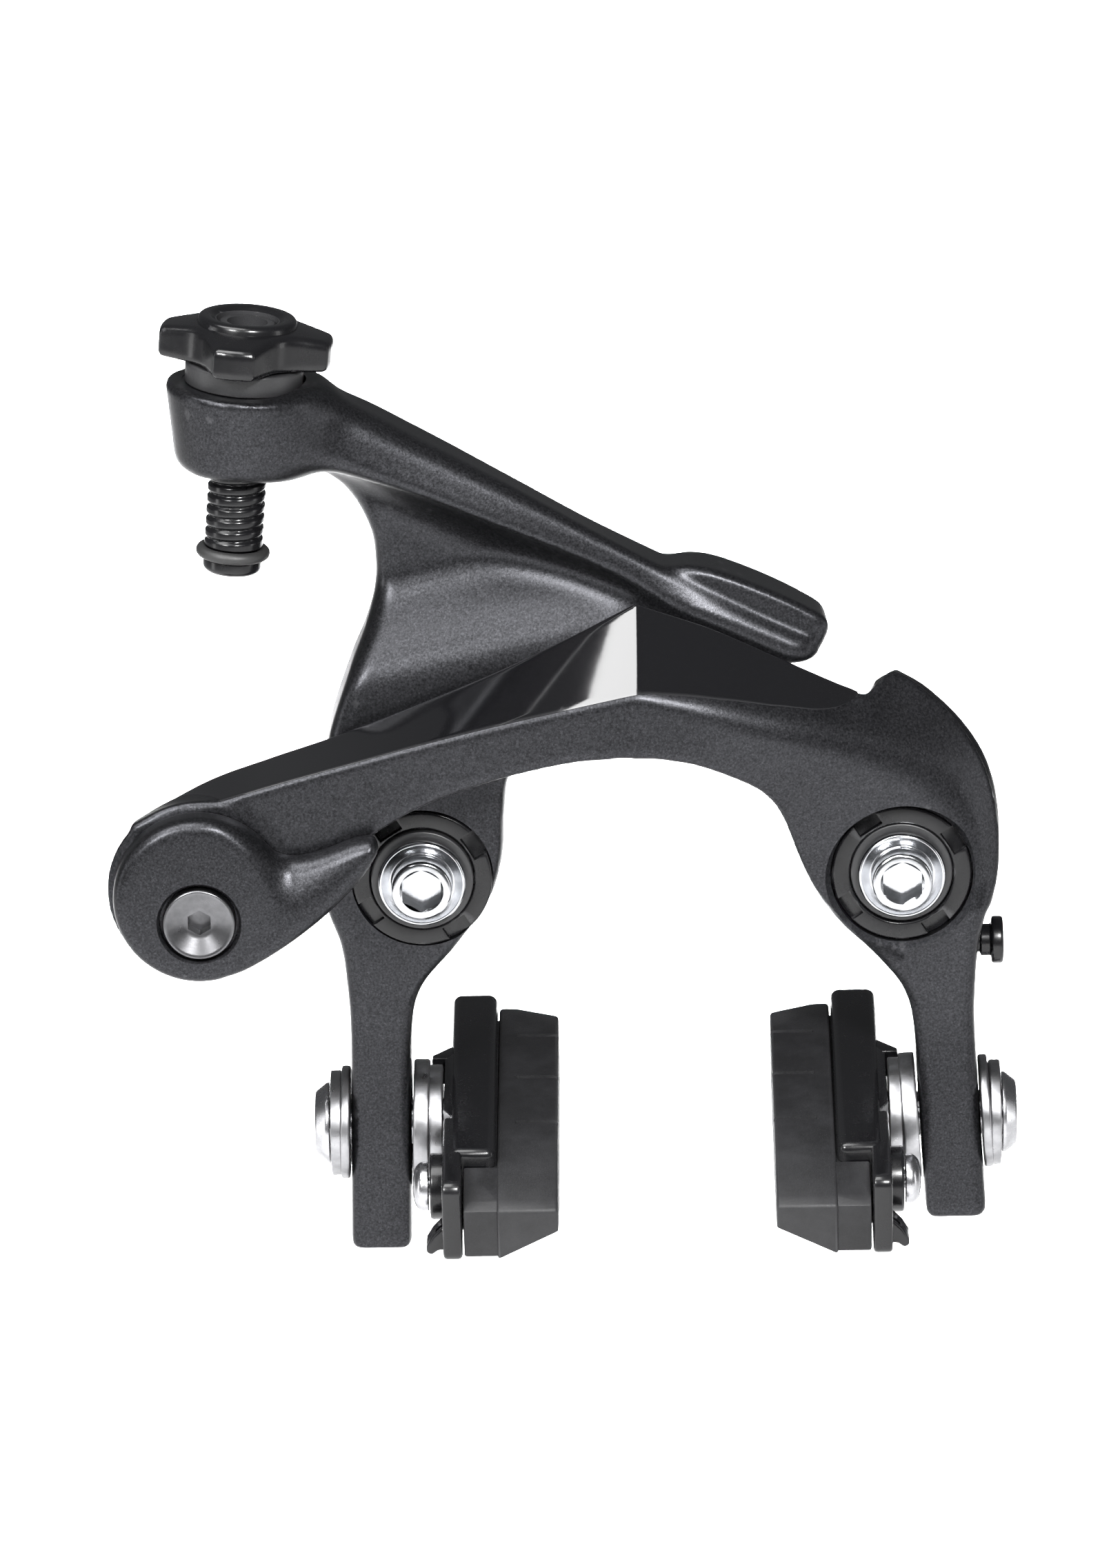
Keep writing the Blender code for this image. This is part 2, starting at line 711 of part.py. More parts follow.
def star_outline():
    """Flat-tipped lobes with hollow sides between them."""
    points = []
    step = 360 / DIAL_LOBES
    half_tip = math.degrees(math.asin(DIAL_TIP_WIDTH / 2 / DIAL_TIP_R))
    flank = 7
    for lobe in range(DIAL_LOBES):
        middle = -90 + DIAL_TURN + lobe * step
        points.append((DIAL_TIP_R, middle - half_tip))
        points.append((DIAL_TIP_R, middle + half_tip))
        for k in range(1, flank):
            u = k / flank
            dip = (DIAL_TIP_R - DIAL_VALLEY_R) * (1 - (2 * u - 1) ** 2)
            points.append((DIAL_TIP_R - dip, middle + half_tip + (step - 2 * half_tip) * u))
    return [(r * math.cos(math.radians(a)), r * math.sin(math.radians(a))) for r, a in points]


def adjuster():
    stop = adjuster_place()
    base = BOSS_HEIGHT / 2
    turned(
        "adjuster_collar",
        tube_profile(COLLAR_R, STUD_R + 0.3, base + 0.1, base + COLLAR_HEIGHT, 0.5),
        stop,
        PLASTIC,
    )
    low = base + COLLAR_HEIGHT + 0.15
    dial = prism("adjuster_dial", star_outline(), low, low + DIAL_THICK, stop, BLACK)
    bevel(dial, 0.5, 2, 30)
    top = low + DIAL_THICK + HUB_HEIGHT
    hub = cylinder("dial_hub", HUB_R, low + 1, top, stop)
    bevel(hub, 0.6, 2)
    join(dial, hub)
    cut(dial, cylinder("dial_hole", STUD_R + 0.25, low - 3, top + 3, stop))

    stud_top = top - 0.8
    foot = -base - STUD_BELOW_BOSS
    profile = [(STUD_BORE_R, stud_top), (STUD_R, stud_top)]
    thread_top = 1 - base
    profile.append((STUD_R, thread_top))
    ring_z = foot + 2.6
    turns = int((thread_top - ring_z - 1.2) / THREAD_PITCH)
    for n in range(turns):
        crest = thread_top - n * THREAD_PITCH
        profile.append((STUD_R - THREAD_DEPTH, crest - 0.5 * THREAD_PITCH))
        profile.append((STUD_R, crest - THREAD_PITCH))
    profile += [
        (STUD_R, ring_z + 0.9),
        (STUD_R - 0.6, ring_z + 0.7),
        (STUD_R - 0.6, ring_z - 0.7),
        (STUD_R, ring_z - 0.9),
        (STUD_R, foot + 0.5),
        (STUD_R - 0.5, foot),
        (STUD_BORE_R, foot),
    ]
    turned("adjuster_stud", profile, stop, BLACK, 16)
    circle = arc((STUD_R + 0.25, ring_z), O_RING_R, 90, -270, 7)[:-1]
    turned("adjuster_o_ring", circle, stop, RUBBER, 20)


# ---------------------------------------------------------------- right arm


def lever_centre():
    return across(-59.2), 2.6


def arch_stations():
    """Sections of the arch from its left end to the right pivot: face below, ridge, back top, back below."""
    rows = [
        ((-67.2, ARCH_FACE, 7.6), (-67.6, ARCH_FACE, 11.6), (-67.8, 21.0, 10.2), (-67.2, 21.0, 7.4)),
        ((-58.0, ARCH_FACE, 3.0), (-57.5, ARCH_FACE, 14.2), (-58.4, 18.6, 14.9), (-58.0, 18.0, 3.0)),
        ((-48.5, ARCH_FACE, 1.5), (-49.0, ARCH_FACE, 16.7), (-50.2, ARCH_BACK, 17.4), (-48.5, ARCH_BACK, 1.5)),
        ((-40.6, ARCH_FACE, 7.0), (-40.0, ARCH_FACE, 19.1), (-41.6, ARCH_BACK, 20.3), (-40.6, ARCH_BACK, 7.0)),
        ((-31.6, ARCH_FACE, 12.7), (-30.4, ARCH_FACE, 21.6), (-31.0, ARCH_BACK, 24.4), (-31.0, ARCH_BACK, 12.9)),
        ((-22.0, ARCH_FACE, 16.3), (-20.6, ARCH_FACE, 23.9), (-20.8, ARCH_BACK, 28.6), (-21.6, ARCH_BACK, 16.6)),
        ((-12.6, ARCH_FACE, 18.5), (-11.4, ARCH_FACE, 25.8), (-11.4, ARCH_BACK, 33.1), (-12.4, ARCH_BACK, 18.9)),
        ((-6.6, ARCH_FACE, 19.1), (-5.6, ARCH_FACE, 27.0), (-5.6, ARCH_BACK, 36.3), (-6.6, ARCH_BACK, 19.6)),
        ((-3.2, ARCH_FACE, 19.1), (-2.8, ARCH_FACE, 27.6), (-2.8, ARCH_BACK, 37.5), (-3.2, ARCH_BACK, 19.7)),
        ((0.2, 26.9, 18.9), (0.2, 26.9, 27.2), (0.4, ARCH_BACK, 36.8), (0.2, ARCH_BACK, 19.6)),
        ((5.2, 26.4, 17.7), (7.0, 26.4, 25.3), (7.0, ARCH_BACK, 34.0), (5.6, ARCH_BACK, 18.6)),
        ((11.4, 24.8, 14.6), (14.6, 25.3, 22.8), (14.4, ARCH_BACK, 30.5), (12.0, ARCH_BACK, 15.6)),
        ((15.2, 22.4, 10.2), (22.4, 23.4, 20.3), (21.4, ARCH_BACK, 27.0), (16.0, ARCH_BACK, 10.6)),
        ((17.7, 19.6, 3.6), (30.2, 20.8, 16.6), (29.0, 13.0, 23.8), (18.6, 12.0, 3.8)),
        ((20.6, 18.0, -3.2), (37.0, 18.6, 11.4), (36.8, 10.0, 20.8), (22.0, 10.0, -3.0)),
        ((26.0, RIGHT_FACE, -8.2), (40.6, 17.4, 4.2), (42.4, 9.0, 12.0), (27.0, 9.0, -7.8)),
    ]
    return [[drawn(*corner) for corner in row] for row in rows]


def block_stations():
    """Sections of the block behind the arch and of the right leg, from the hump down to the foot.

    Each row is inner x, inner z, outer x, outer z, how far forward the face stands, and how far forward
    the back does.
    """
    rows = [
        (27.6, 24.4, 30.8, 27.2, 15.0, 9.0),
        (26.0, 20.0, 34.9, 24.4, 15.6, 7.0),
        (22.6, 14.8, 39.4, 19.6, 16.2, 4.0),
        (19.6, 9.6, 42.5, 14.2, 16.6, ARM_BACK),
        (18.2, 4.2, 43.7, 6.8, RIGHT_FACE, ARM_BACK),
        (19.4, -1.8, 43.3, 0.6, RIGHT_FACE, ARM_BACK),
        (23.6, -7.0, 42.0, -4.6, RIGHT_FACE, ARM_BACK),
        (28.0, -11.8, 41.0, -10.0, 16.8, ARM_BACK),
        (31.2, -16.4, 40.5, -16.0, 16.2, ARM_BACK),
    ]
    for inner_x, outer_x, z in leg_rows(1, RIGHT_LEG_LEAN, RIGHT_LEG_SHORTER):
        rows.append((inner_x, z, outer_x, z, LEG_FACE, LEG_BACK))
    stations = []
    for inner_x, inner_z, outer_x, outer_z, face, back in rows:
        fall = TOP_SLOPE * (face - back) if outer_z > 10 else 0
        stations.append([
            drawn_leg(inner_x, face, inner_z),
            drawn_leg(outer_x, face, outer_z),
            drawn_leg(outer_x, back, outer_z - fall),
            drawn_leg(inner_x, back, inner_z),
        ])
    return stations


def right_arm():
    arch = loft("right_arm", arch_stations(), (1.2, 1.4, 1.4, 1.2), 32, ANODISED)
    body = loft("right_arm_block", block_stations(), (1.4, 2.0, 1.2, 1.2), 20, None)
    x, z = lever_centre()
    end = cylinder("right_arm_end", END_BACK_R, ARCH_BACK, ARCH_FACE, at(x, 0, z), sides=32, top_radius=END_R)
    bevel(end, 0.8, 1)
    join(arch, body, end)
    cut(arch, cylinder("lever_hub_bore", HUB_SHAFT_R + HUB_GAP, ARCH_BACK - 5, ARCH_FACE + 5, at(x, 0, z)))
    cut(arch, *pivot_cutters("right", PIVOT_X, RIGHT_FACE))
    cut(arch, spring_groove("right", PIVOT_X, -1))
    cut(arch, shoe_slot("right", LEG_IN_X + LEG_THICK / 2))
    screw = at(across(41.0), CENTRING_FORWARD, CENTRING_Z, (1, 0, 0))
    cut(arch, cylinder("centring_hole", CENTRING_R + 0.2, -8, 8, screw, sides=SMALL_STEPS))
    pin = at(0, 0, ROLLER_Z)
    cut(arch, cylinder("roller_pin_hole", ROLLER_PIN_R + 0.1, ARCH_BACK - 4, ARCH_BACK + 5.2, pin, sides=SMALL_STEPS))


def centring_screw():
    surface = across(40.9)
    place = at(surface, CENTRING_FORWARD, CENTRING_Z, (1, 0, 0))
    tip = CENTRING_STICKS_OUT
    profile = [
        (0, tip),
        (CENTRING_HEAD_R - 0.4, tip),
        (CENTRING_HEAD_R, tip - 0.4),
        (CENTRING_HEAD_R, tip - CENTRING_HEAD_THICK),
        (CENTRING_NECK_R, tip - CENTRING_HEAD_THICK - 0.2),
        (CENTRING_NECK_R, 0.5),
        (CENTRING_R, 0.3),
        (CENTRING_R, -4.2),
        (0, -4.8),
    ]
    obj = turned("centring_screw", profile, place, BLACK, SMALL_STEPS)
    cut(obj, hex_cutter("centring_hex", 2.0, tip - 1.2, tip + 1, place))


def roller():
    place = at(0, 0, ROLLER_Z)
    back = ARCH_BACK - FIT_GAP - ROLLER_LENGTH
    pin = [
        (0, ARCH_BACK + 5),
        (ROLLER_PIN_R, ARCH_BACK + 5),
        (ROLLER_PIN_R, back - 0.2),
        (ROLLER_PIN_R + 0.7, back - 0.2),
        (ROLLER_PIN_R + 0.7, back - 0.8),
        (0, back - 0.8),
    ]
    turned("roller_pin", pin, place, ZINC, SMALL_STEPS)
    turned(
        "sync_roller",
        tube_profile(ROLLER_R, ROLLER_PIN_R + RUNNING_GAP, back, ARCH_BACK - FIT_GAP),
        place,
        PLASTIC,
        16,
    )


# ---------------------------------------------------------------- quick release and cable anchor


def lever_outline():
    """Seen from the front: a disc with a tail that narrows to the right."""
    x, z = lever_centre()
    disc = arc((0, 0), LEVER_R, 37, 282, 22)
    tail = [
        (6.0, -9.4),
        (11.2, -6.2),
        (16.6, -2.0),
        (20.4, 1.8),
        (22.6, 5.0),
        (23.0, 6.4),
        (22.2, 7.5),
        (19.8, 7.2),
        (16.4, 5.9),
        (12.8, 5.0),
        (10.2, 5.4),
    ]
    return [(x + a, z + b) for a, b in disc + tail]


def quick_release():
    x, z = lever_centre()
    back = ARCH_FACE + FIT_GAP
    front = back + LEVER_THICK
    upright_plane = Matrix.Rotation(math.pi / 2, 4, "X")
    lever = prism("quick_release_lever", lever_outline(), back, front, upright_plane, ANODISED)
    bevel(lever, 0.8, 1, 50)
    shaft = cylinder("lever_shaft", HUB_SHAFT_R, ARCH_BACK + 0.2, back + 1, at(x, 0, z))
    join(lever, shaft)
    anchor = at(x, 0, z - ECCENTRICITY)
    seat = front - ANCHOR_HEAD_SEAT
    cut(lever, cylinder("anchor_head_seat", ANCHOR_HEAD_R + 0.4, seat, front + 5, anchor))
    cut(lever, cylinder("anchor_bore", ANCHOR_BOLT_R + 0.1, ARCH_BACK - 5, front + 5, anchor))

    low = ARCH_BACK - CLAMP_THICK - ANCHOR_NUT_THICK - 1.4
    bolt = [
        (0, front - 0.9),
        (1.9, front - 0.7),
        (ANCHOR_HEAD_R - 0.5, front + 0.1),
        (ANCHOR_HEAD_R, front - 0.2),
        (ANCHOR_HEAD_R, seat + FIT_GAP / 2),
        (ANCHOR_BOLT_R, seat + FIT_GAP / 2),
        (ANCHOR_BOLT_R, low + 0.4),
        (ANCHOR_BOLT_R - 0.4, low),
        (0, low),
    ]
    anchor_bolt = turned("anchor_bolt", bolt, anchor, PLASTIC)
    cut(anchor_bolt, hex_cutter("anchor_hex", ANCHOR_HEX, front - 3.0, front + 2, anchor))

    clamp_top = ARCH_BACK - 0.1
    turned(
        "cable_clamp_washer",
        tube_profile(CLAMP_R, ANCHOR_BOLT_R + 0.15, clamp_top - CLAMP_THICK, clamp_top, 0.3),
        anchor,
        ZINC,
    )
    nut_top = clamp_top - CLAMP_THICK - 0.15
    nut = cylinder("anchor_nut", ANCHOR_NUT_ACROSS / math.sqrt(3), nut_top - ANCHOR_NUT_THICK, nut_top, anchor, ZINC, 6)
    bevel(nut, 0.4, 1)
    cut(nut, cylinder("anchor_nut_hole", ANCHOR_BOLT_R + 0.15, nut_top - 9, nut_top + 5, anchor, sides=28))


# ---------------------------------------------------------------- brake shoes


def shoe_centre():
    """The middle of a shoe, forward and z, such that the shoe bolt meets its centre line."""
    return SHOE_FORWARD, SHOE_Z - (SHOE_FORWARD - SLOT_FORWARD) * math.tan(math.radians(SHOE_TILT))


def shoe_place(side):
    """The shoe's own frame: +X out from the rim to the leg, +Y along the shoe to its back end, +Z up."""
    forward, z = shoe_centre()
    tilt = Matrix.Rotation(math.radians(SHOE_TILT), 4, "X")
    return Matrix.Translation((0, -forward, z)) @ Matrix.Diagonal((side, 1, 1, 1)) @ tilt


def shoe_axis(side, along):
    """An axis across the shoe, at a distance along it from its middle. Heights on it are distances out."""
    forward, z = shoe_centre()
    tilt = math.radians(SHOE_TILT)
    return at(0, forward - along * math.cos(tilt), z + along * math.sin(tilt), (side, 0, 0))


def placed(name, body, place, look):
    """Bakes the shoe's frame, which may mirror, into the mesh."""
    bmesh.ops.transform(body, matrix=place, verts=body.verts)
    return put_in_scene(name, mesh_of(name, body), look)


def side_prism(name, outline, low, high, place, look=None):
    """Extrudes an outline of (along, up) across the shoe, from low to high going out."""
    body = bmesh.new()
    floor = body.faces.new([body.verts.new((low, y, z)) for y, z in outline])
    top = bmesh.ops.extrude_face_region(body, geom=[floor])
    raised = [v for v in top["geom"] if isinstance(v, bmesh.types.BMVert)]
    bmesh.ops.translate(body, verts=raised, vec=(high - low, 0, 0))
    return placed(name, body, place, look)


def hull(name, points, place, look=None):
    body = bmesh.new()
    for point in points:
        body.verts.new(point)
    bmesh.ops.convex_hull(body, input=body.verts)
    return placed(name, body, place, look)


def bar_outline(rounded_end, plain_end, height, rounding):
    """A bar seen from the side, (along, up), with its corners rounded at one end."""
    half = height / 2
    way = math.copysign(1, rounded_end - plain_end)
    upper = [(rounded_end - way * rounding + way * a, b) for a, b in arc((0, half - rounding), rounding, 90, 0, 4)]
    lower = [(y, -z) for y, z in reversed(upper)]
    return [(plain_end, half)] + upper + lower + [(plain_end, -half)]


def shoe_holder(label, side, back, front, nose):
    place = shoe_place(side)
    name = f"{label}_shoe_holder"
    half = SHOE_HEIGHT / 2
    holder = side_prism(
        name, bar_outline(back, nose + SEAT_GAP, SHOE_HEIGHT, 1.6), HOLDER_X, HOLDER_BACK_X, place, BLACK
    )
    bevel(holder, 0.7)
    wall_outline = bar_outline(front, WALL_BACK_END, SHOE_HEIGHT - 0.6, 1.6)
    wall = side_prism(f"{label}_holder_wall", wall_outline, WALL_IN_X, HOLDER_OUT_X, place)
    bevel(wall, 0.4, 1)
    bolt_along = SHOE_FORWARD - SLOT_FORWARD
    shoulder = [
        (x, bolt_along + y, z)
        for z in (half - 0.5, 0.5 - half)
        for x, y in (
            (HOLDER_BACK_X - 1, SHOE_BOSS_ROOT_R + 2),
            (SHOE_BOSS_X, SHOE_BOSS_R),
            (SHOE_BOSS_X, -SHOE_BOSS_R),
            (HOLDER_BACK_X - 1, -SHOE_BOSS_ROOT_R - 2),
        )
    ]
    boss = hull(f"{label}_holder_boss", shoulder, place)
    flare = [
        (x, bolt_along + y, z)
        for z in (half - 0.7, 1.5)
        for x, y in (
            (HOLDER_BACK_X - 1, FLARE_BACK_END),
            (SHOE_BOSS_X + FLARE_REACH, BALL_WASHER_R + 1.6),
            (SHOE_BOSS_X + FLARE_REACH, BALL_WASHER_R + 0.6),
            (HOLDER_BACK_X - 1, BALL_WASHER_R + 0.6),
        )
    ]
    flare_piece = hull(f"{label}_holder_flare", flare, place)
    screw_axis = shoe_axis(side, -PAD_SCREW_FROM_CENTRE)
    screw_boss = cylinder(
        f"{label}_screw_boss", SCREW_BOSS_R, HOLDER_BACK_X - 0.6, HOLDER_OUT_X + SCREW_BOSS_REACH, screw_axis
    )
    fin_outline = [(front + 6.2, -3.2), (front + 3.0, -3.2), (front + 1.4, 0.3 - half), (front + 4.0, 0.3 - half)]
    fin = side_prism(f"{label}_holder_fin", fin_outline, WALL_IN_X + 0.3, HOLDER_OUT_X + FIN_REACH, place)
    join(holder, wall, boss, flare_piece, screw_boss, fin)
    rail = bar_outline(back - 2.4, nose - 9, PAD_RAIL_HEIGHT + 2 * SEAT_GAP, 0.8)
    cut(
        holder,
        side_prism(f"{label}_rail_room", rail, HOLDER_X - 2, PAD_BASE_X + PAD_RAIL_DEEP + SEAT_GAP, place),
        cylinder(
            f"{label}_bolt_bore",
            SHOE_BOLT_R + 0.15,
            SHOE_BOSS_X - SHOE_BOLT_GRIP - 0.4,
            SHOE_BOSS_X + 9,
            clamp_axis(side),
        ),
        cylinder(
            f"{label}_screw_bore",
            PAD_SCREW_SHANK_R + 0.2,
            HOLDER_OUT_X - 3.0,
            HOLDER_OUT_X + 9,
            screw_axis,
            sides=SMALL_STEPS,
        ),
    )


def brake_pad(label, side, back, front, nose):
    place = shoe_place(side)
    end = back - PAD_END_GAP
    slab = [
        (end - 0.8, PAD_ABOVE),
        (nose + 0.4, PAD_ABOVE),
        (front + 1.6, PAD_ABOVE - NOSE_DROP),
        (front, PAD_ABOVE - NOSE_DROP - 0.8),
        (front + 0.6, 0.6 - PAD_BELOW),
        (front + 2.2, -PAD_BELOW),
        (end - 0.8, -PAD_BELOW),
        (end, 0.8 - PAD_BELOW),
        (end, PAD_ABOVE - 0.8),
    ]
    pad = side_prism(f"{label}_brake_pad", slab, PAD_X, PAD_BASE_X, place, RUBBER)
    bevel(pad, 0.4, 1)
    rail_outline = bar_outline(back - 2.8, nose - 1, PAD_RAIL_HEIGHT, 0.8)
    rail = side_prism(f"{label}_pad_rail", rail_outline, PAD_BASE_X - 2, PAD_BASE_X + PAD_RAIL_DEEP, place)
    cheek_outline = [
        (nose, PAD_ABOVE - 0.2),
        (front + 1.8, PAD_ABOVE - NOSE_DROP - 0.2),
        (front + 0.4, PAD_ABOVE - NOSE_DROP - 1.0),
        (front + 0.9, 0.9 - PAD_BELOW),
        (front + 2.4, 0.2 - PAD_BELOW),
        (nose, 0.2 - PAD_BELOW),
    ]
    cheek = side_prism(f"{label}_pad_nose", cheek_outline, PAD_BASE_X - 1.5, WALL_IN_X - SEAT_GAP, place)
    join(pad, rail, cheek)
    for n, along in enumerate(GROOVES_FROM_BACK):
        edge = back - along
        outline = [(edge, 9), (edge - GROOVE_WIDTH, 9), (edge - GROOVE_WIDTH, -9), (edge, -9)]
        cut(pad, side_prism(f"{label}_pad_groove_{n + 1}", outline, PAD_X - 2, PAD_X + GROOVE_DEEP, place))
    steep = NOSE_CHAMFER_HIGH / NOSE_CHAMFER_WIDE
    wedge = [
        (x, y, z - PAD_BELOW - drop)
        for y, drop in ((front - 1, 0), (front + NOSE_CHAMFER_LONG, NOSE_CHAMFER_HIGH + 0.3))
        for x, z in (
            (PAD_X - 1, NOSE_CHAMFER_HIGH + steep),
            (PAD_X + NOSE_CHAMFER_WIDE + 1, -steep),
            (PAD_X - 1, -9),
            (PAD_X + NOSE_CHAMFER_WIDE + 1, -9),
        )
    ]
    cut(pad, hull(f"{label}_nose_chamfer", wedge, place))


def pad_screw(label, side):
    axis = shoe_axis(side, -PAD_SCREW_FROM_CENTRE)
    seat = HOLDER_OUT_X + SCREW_BOSS_REACH + SEAT_GAP
    top = seat + PAD_SCREW_THICK
    profile = [
        (0, top),
        (PAD_SCREW_R - 1.1, top),
        (PAD_SCREW_R, top - 0.8),
        (PAD_SCREW_R, seat),
        (PAD_SCREW_SHANK_R, seat),
        (PAD_SCREW_SHANK_R, HOLDER_OUT_X - 2.6),
        (0, HOLDER_OUT_X - 2.6),
    ]
    screw = turned(f"{label}_pad_screw", profile, axis, ZINC, 20)
    cut(screw, hex_cutter(f"{label}_pad_screw_hex", PAD_SCREW_HEX, top - 1.3, top + 1, axis))


def brake_shoe(label, side):
    back, front = SHOE_LENGTH / 2, -SHOE_LENGTH / 2
    nose = front + NOSE_LENGTH
    shoe_holder(label, side, back, front, nose)
    brake_pad(label, side, back, front, nose)
    pad_screw(label, side)


def clamp_axis(side):
    return at(0, SLOT_FORWARD, SHOE_Z, (side, 0, 0))


def ball_profile(flat, crown, radius, hole):
    """A washer with a flat face at one height and a shallow dome that reaches the crown's height."""
    way = math.copysign(1, crown - flat)
    dome = [(hole, crown), (radius - 2.7, crown - 0.1 * way), (radius - 1.3, crown - 0.3 * way)]
    dome += [(radius - 0.2, crown - 0.6 * way), (radius, flat + 0.2 * way), (hole, flat)]
    return dome if way > 0 else dome[::-1]


def clamp_stack(label, side, lean):
    """The shoe bolt and its washers, from the holder out through the leg. Cups lie flat on the leaning leg."""
    straight = clamp_axis(side)
    leg_middle = LEG_IN_X + LEG_THICK / 2
    slope = math.radians(lean)
    leaning = at(side * leg_middle, SLOT_FORWARD, SHOE_Z, (side * math.cos(slope), 0, math.sin(slope)))
    hole = SHOE_BOLT_R + 0.2
    cup_hole = SHOE_BOLT_R + CUP_HOLE_GAP
    face = LEG_THICK / 2 + SEAT_GAP

    turned(
        f"{label}_inner_cup_washer",
        tube_profile(INNER_CUP_R, cup_hole, -face - INNER_CUP_THICK, -face, 0.25),
        leaning,
        ZINC,
    )
    turned(
        f"{label}_outer_cup_washer",
        tube_profile(OUTER_CUP_R, cup_hole, face, face + OUTER_CUP_THICK, 0.3),
        leaning,
        ZINC,
    )
    inner = SHOE_BOSS_X + SEAT_GAP
    turned(
        f"{label}_inner_ball_washer",
        ball_profile(inner, inner + BALL_WASHER_THICK, BALL_WASHER_R, hole),
        straight,
        ZINC,
    )
    outer = leg_middle + face + OUTER_CUP_THICK + SEAT_GAP
    seat = outer + OUTER_BALL_THICK
    turned(f"{label}_outer_ball_washer", ball_profile(seat, outer, OUTER_BALL_R, hole), straight, ZINC)

    head = seat + SEAT_GAP
    top = head + SHOE_HEAD_THICK
    profile = [
        (0, top),
        (SHOE_HEAD_R - 1.2, top),
        (SHOE_HEAD_R, head + 0.4),
        (SHOE_HEAD_R, head),
        (SHOE_BOLT_R, head),
        (SHOE_BOLT_R, SHOE_BOSS_X - SHOE_BOLT_GRIP),
        (0, SHOE_BOSS_X - SHOE_BOLT_GRIP),
    ]
    bolt = turned(f"{label}_shoe_bolt", profile, straight, CHROME)
    cut(bolt, hex_cutter(f"{label}_shoe_hex", SHOE_HEX, top - 1.6, top + 1, straight))


# ---------------------------------------------------------------- assembly

for side_name, side_x, side_face, spring_way in (
    ("left", -PIVOT_X, LEFT_FACE, 1),
    ("right", PIVOT_X, RIGHT_FACE, -1),
):
    pivot_pieces(side_name, side_x, side_face)
    return_spring(side_name, side_x, spring_way)
left_arm()
adjuster()
right_arm()
centring_screw()
roller()
quick_release()
for side_name, side_sign, side_lean in (("left", -1, LEFT_LEG_LEAN), ("right", 1, RIGHT_LEG_LEAN)):
    brake_shoe(side_name, side_sign)
    clamp_stack(side_name, side_sign, side_lean)
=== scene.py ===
"""What the rim brake caliper looks like: forged arms, small hardware, finishes, light and camera.

Frame: the CAD model's. +Z is up, +X is to the right as seen from the front, and a point is (x, forward, z),
where forward = -y is the distance in front of the mounting plane. Shapes are drawn in millimetres and
scaled to metres when a piece is made.
"""

import json
import math

import bmesh
import bpy
import numpy as np
import openvdb
from mathutils import Matrix, Vector

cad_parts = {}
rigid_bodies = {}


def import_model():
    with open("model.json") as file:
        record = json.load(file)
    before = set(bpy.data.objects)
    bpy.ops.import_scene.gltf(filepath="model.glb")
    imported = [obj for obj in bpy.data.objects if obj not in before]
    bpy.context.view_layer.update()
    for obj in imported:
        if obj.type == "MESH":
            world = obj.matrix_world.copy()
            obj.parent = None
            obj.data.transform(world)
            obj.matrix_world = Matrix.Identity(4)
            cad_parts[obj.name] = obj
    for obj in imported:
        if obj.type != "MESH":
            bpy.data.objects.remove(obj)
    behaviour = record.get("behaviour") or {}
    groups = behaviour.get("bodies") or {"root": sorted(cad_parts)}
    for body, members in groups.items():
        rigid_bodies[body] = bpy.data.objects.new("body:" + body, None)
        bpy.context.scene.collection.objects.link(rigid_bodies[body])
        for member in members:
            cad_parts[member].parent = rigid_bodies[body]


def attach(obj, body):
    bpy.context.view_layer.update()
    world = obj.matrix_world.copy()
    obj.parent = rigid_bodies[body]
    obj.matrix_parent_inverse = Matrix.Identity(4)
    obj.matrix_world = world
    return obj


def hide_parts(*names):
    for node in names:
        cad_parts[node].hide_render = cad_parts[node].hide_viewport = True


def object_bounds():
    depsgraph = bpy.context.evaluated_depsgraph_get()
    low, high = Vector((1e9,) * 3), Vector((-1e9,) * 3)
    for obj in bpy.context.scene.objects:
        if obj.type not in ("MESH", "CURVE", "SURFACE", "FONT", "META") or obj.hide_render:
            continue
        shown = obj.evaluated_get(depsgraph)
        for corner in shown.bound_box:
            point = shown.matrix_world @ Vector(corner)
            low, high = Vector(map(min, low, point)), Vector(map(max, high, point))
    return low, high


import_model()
CAD_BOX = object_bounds()

MM = 0.001

# Sizes shared with the CAD model, in millimetres
PIVOT_X = 31.0
SHOE_Z = -35.6
ARM_RISE = 61.4
PAD_X = 14.05
SLEEVE_BORE_R = 3.2
SLEEVE_R = 5.0
SLEEVE_LENGTH = 16.4
FLANGE_R = 7.6
FLANGE_THICK = 1.6
BOLT_R = 3.0
BOLT_REACH = 15.0
BOLT_HEAD_R = 3.9
BOLT_HEAD_HEIGHT = 2.8
BOLT_COLLAR_R = 5.7
BOLT_COLLAR_HEIGHT = 1.3
MOUNT_HEX = 5.0
BUSH_R = 6.38
RUNNING_GAP = 0.08
FIT_GAP = 0.3
SEAT_GAP = 0.2
RING_R = 9.08
RING_THICK = 2.6
RING_NOTCHES = 4
RING_NOTCH_ANGLE = 33.0
RING_NOTCH_WIDTH = 3.4
ARM_BACK = 2.6
LEFT_FACE = 16.2
RIGHT_FACE = 17.2
ARCH_BACK = 16.9
ARCH_FACE = 27.0
LEG_FACE = 15.6
LEG_BACK = 3.2
LEG_THICK = 7.9
LEG_IN_X = 33.23
LEFT_LEG_LEAN = 1.2
RIGHT_LEG_LEAN = 3.1
LEFT_LEG_END = -51.48
RIGHT_LEG_END = -48.3
SLOT_TRAVEL = 3.0
SPRING_WIRE_R = 0.6
SPRING_POCKET_R = 8.6
SPRING_POCKET_DEEP = 5.6
ADJUSTER_X = -52.6
ADJUSTER_FORWARD = 16.0
ADJUSTER_LEAN = 5.2
STUD_R = 3.75
STUD_BORE_R = 2.6
THREAD_PITCH = 1.5
THREAD_DEPTH = 0.32
STUD_BELOW_BOSS = 13.8
BOSS_TOP_R = 10.0
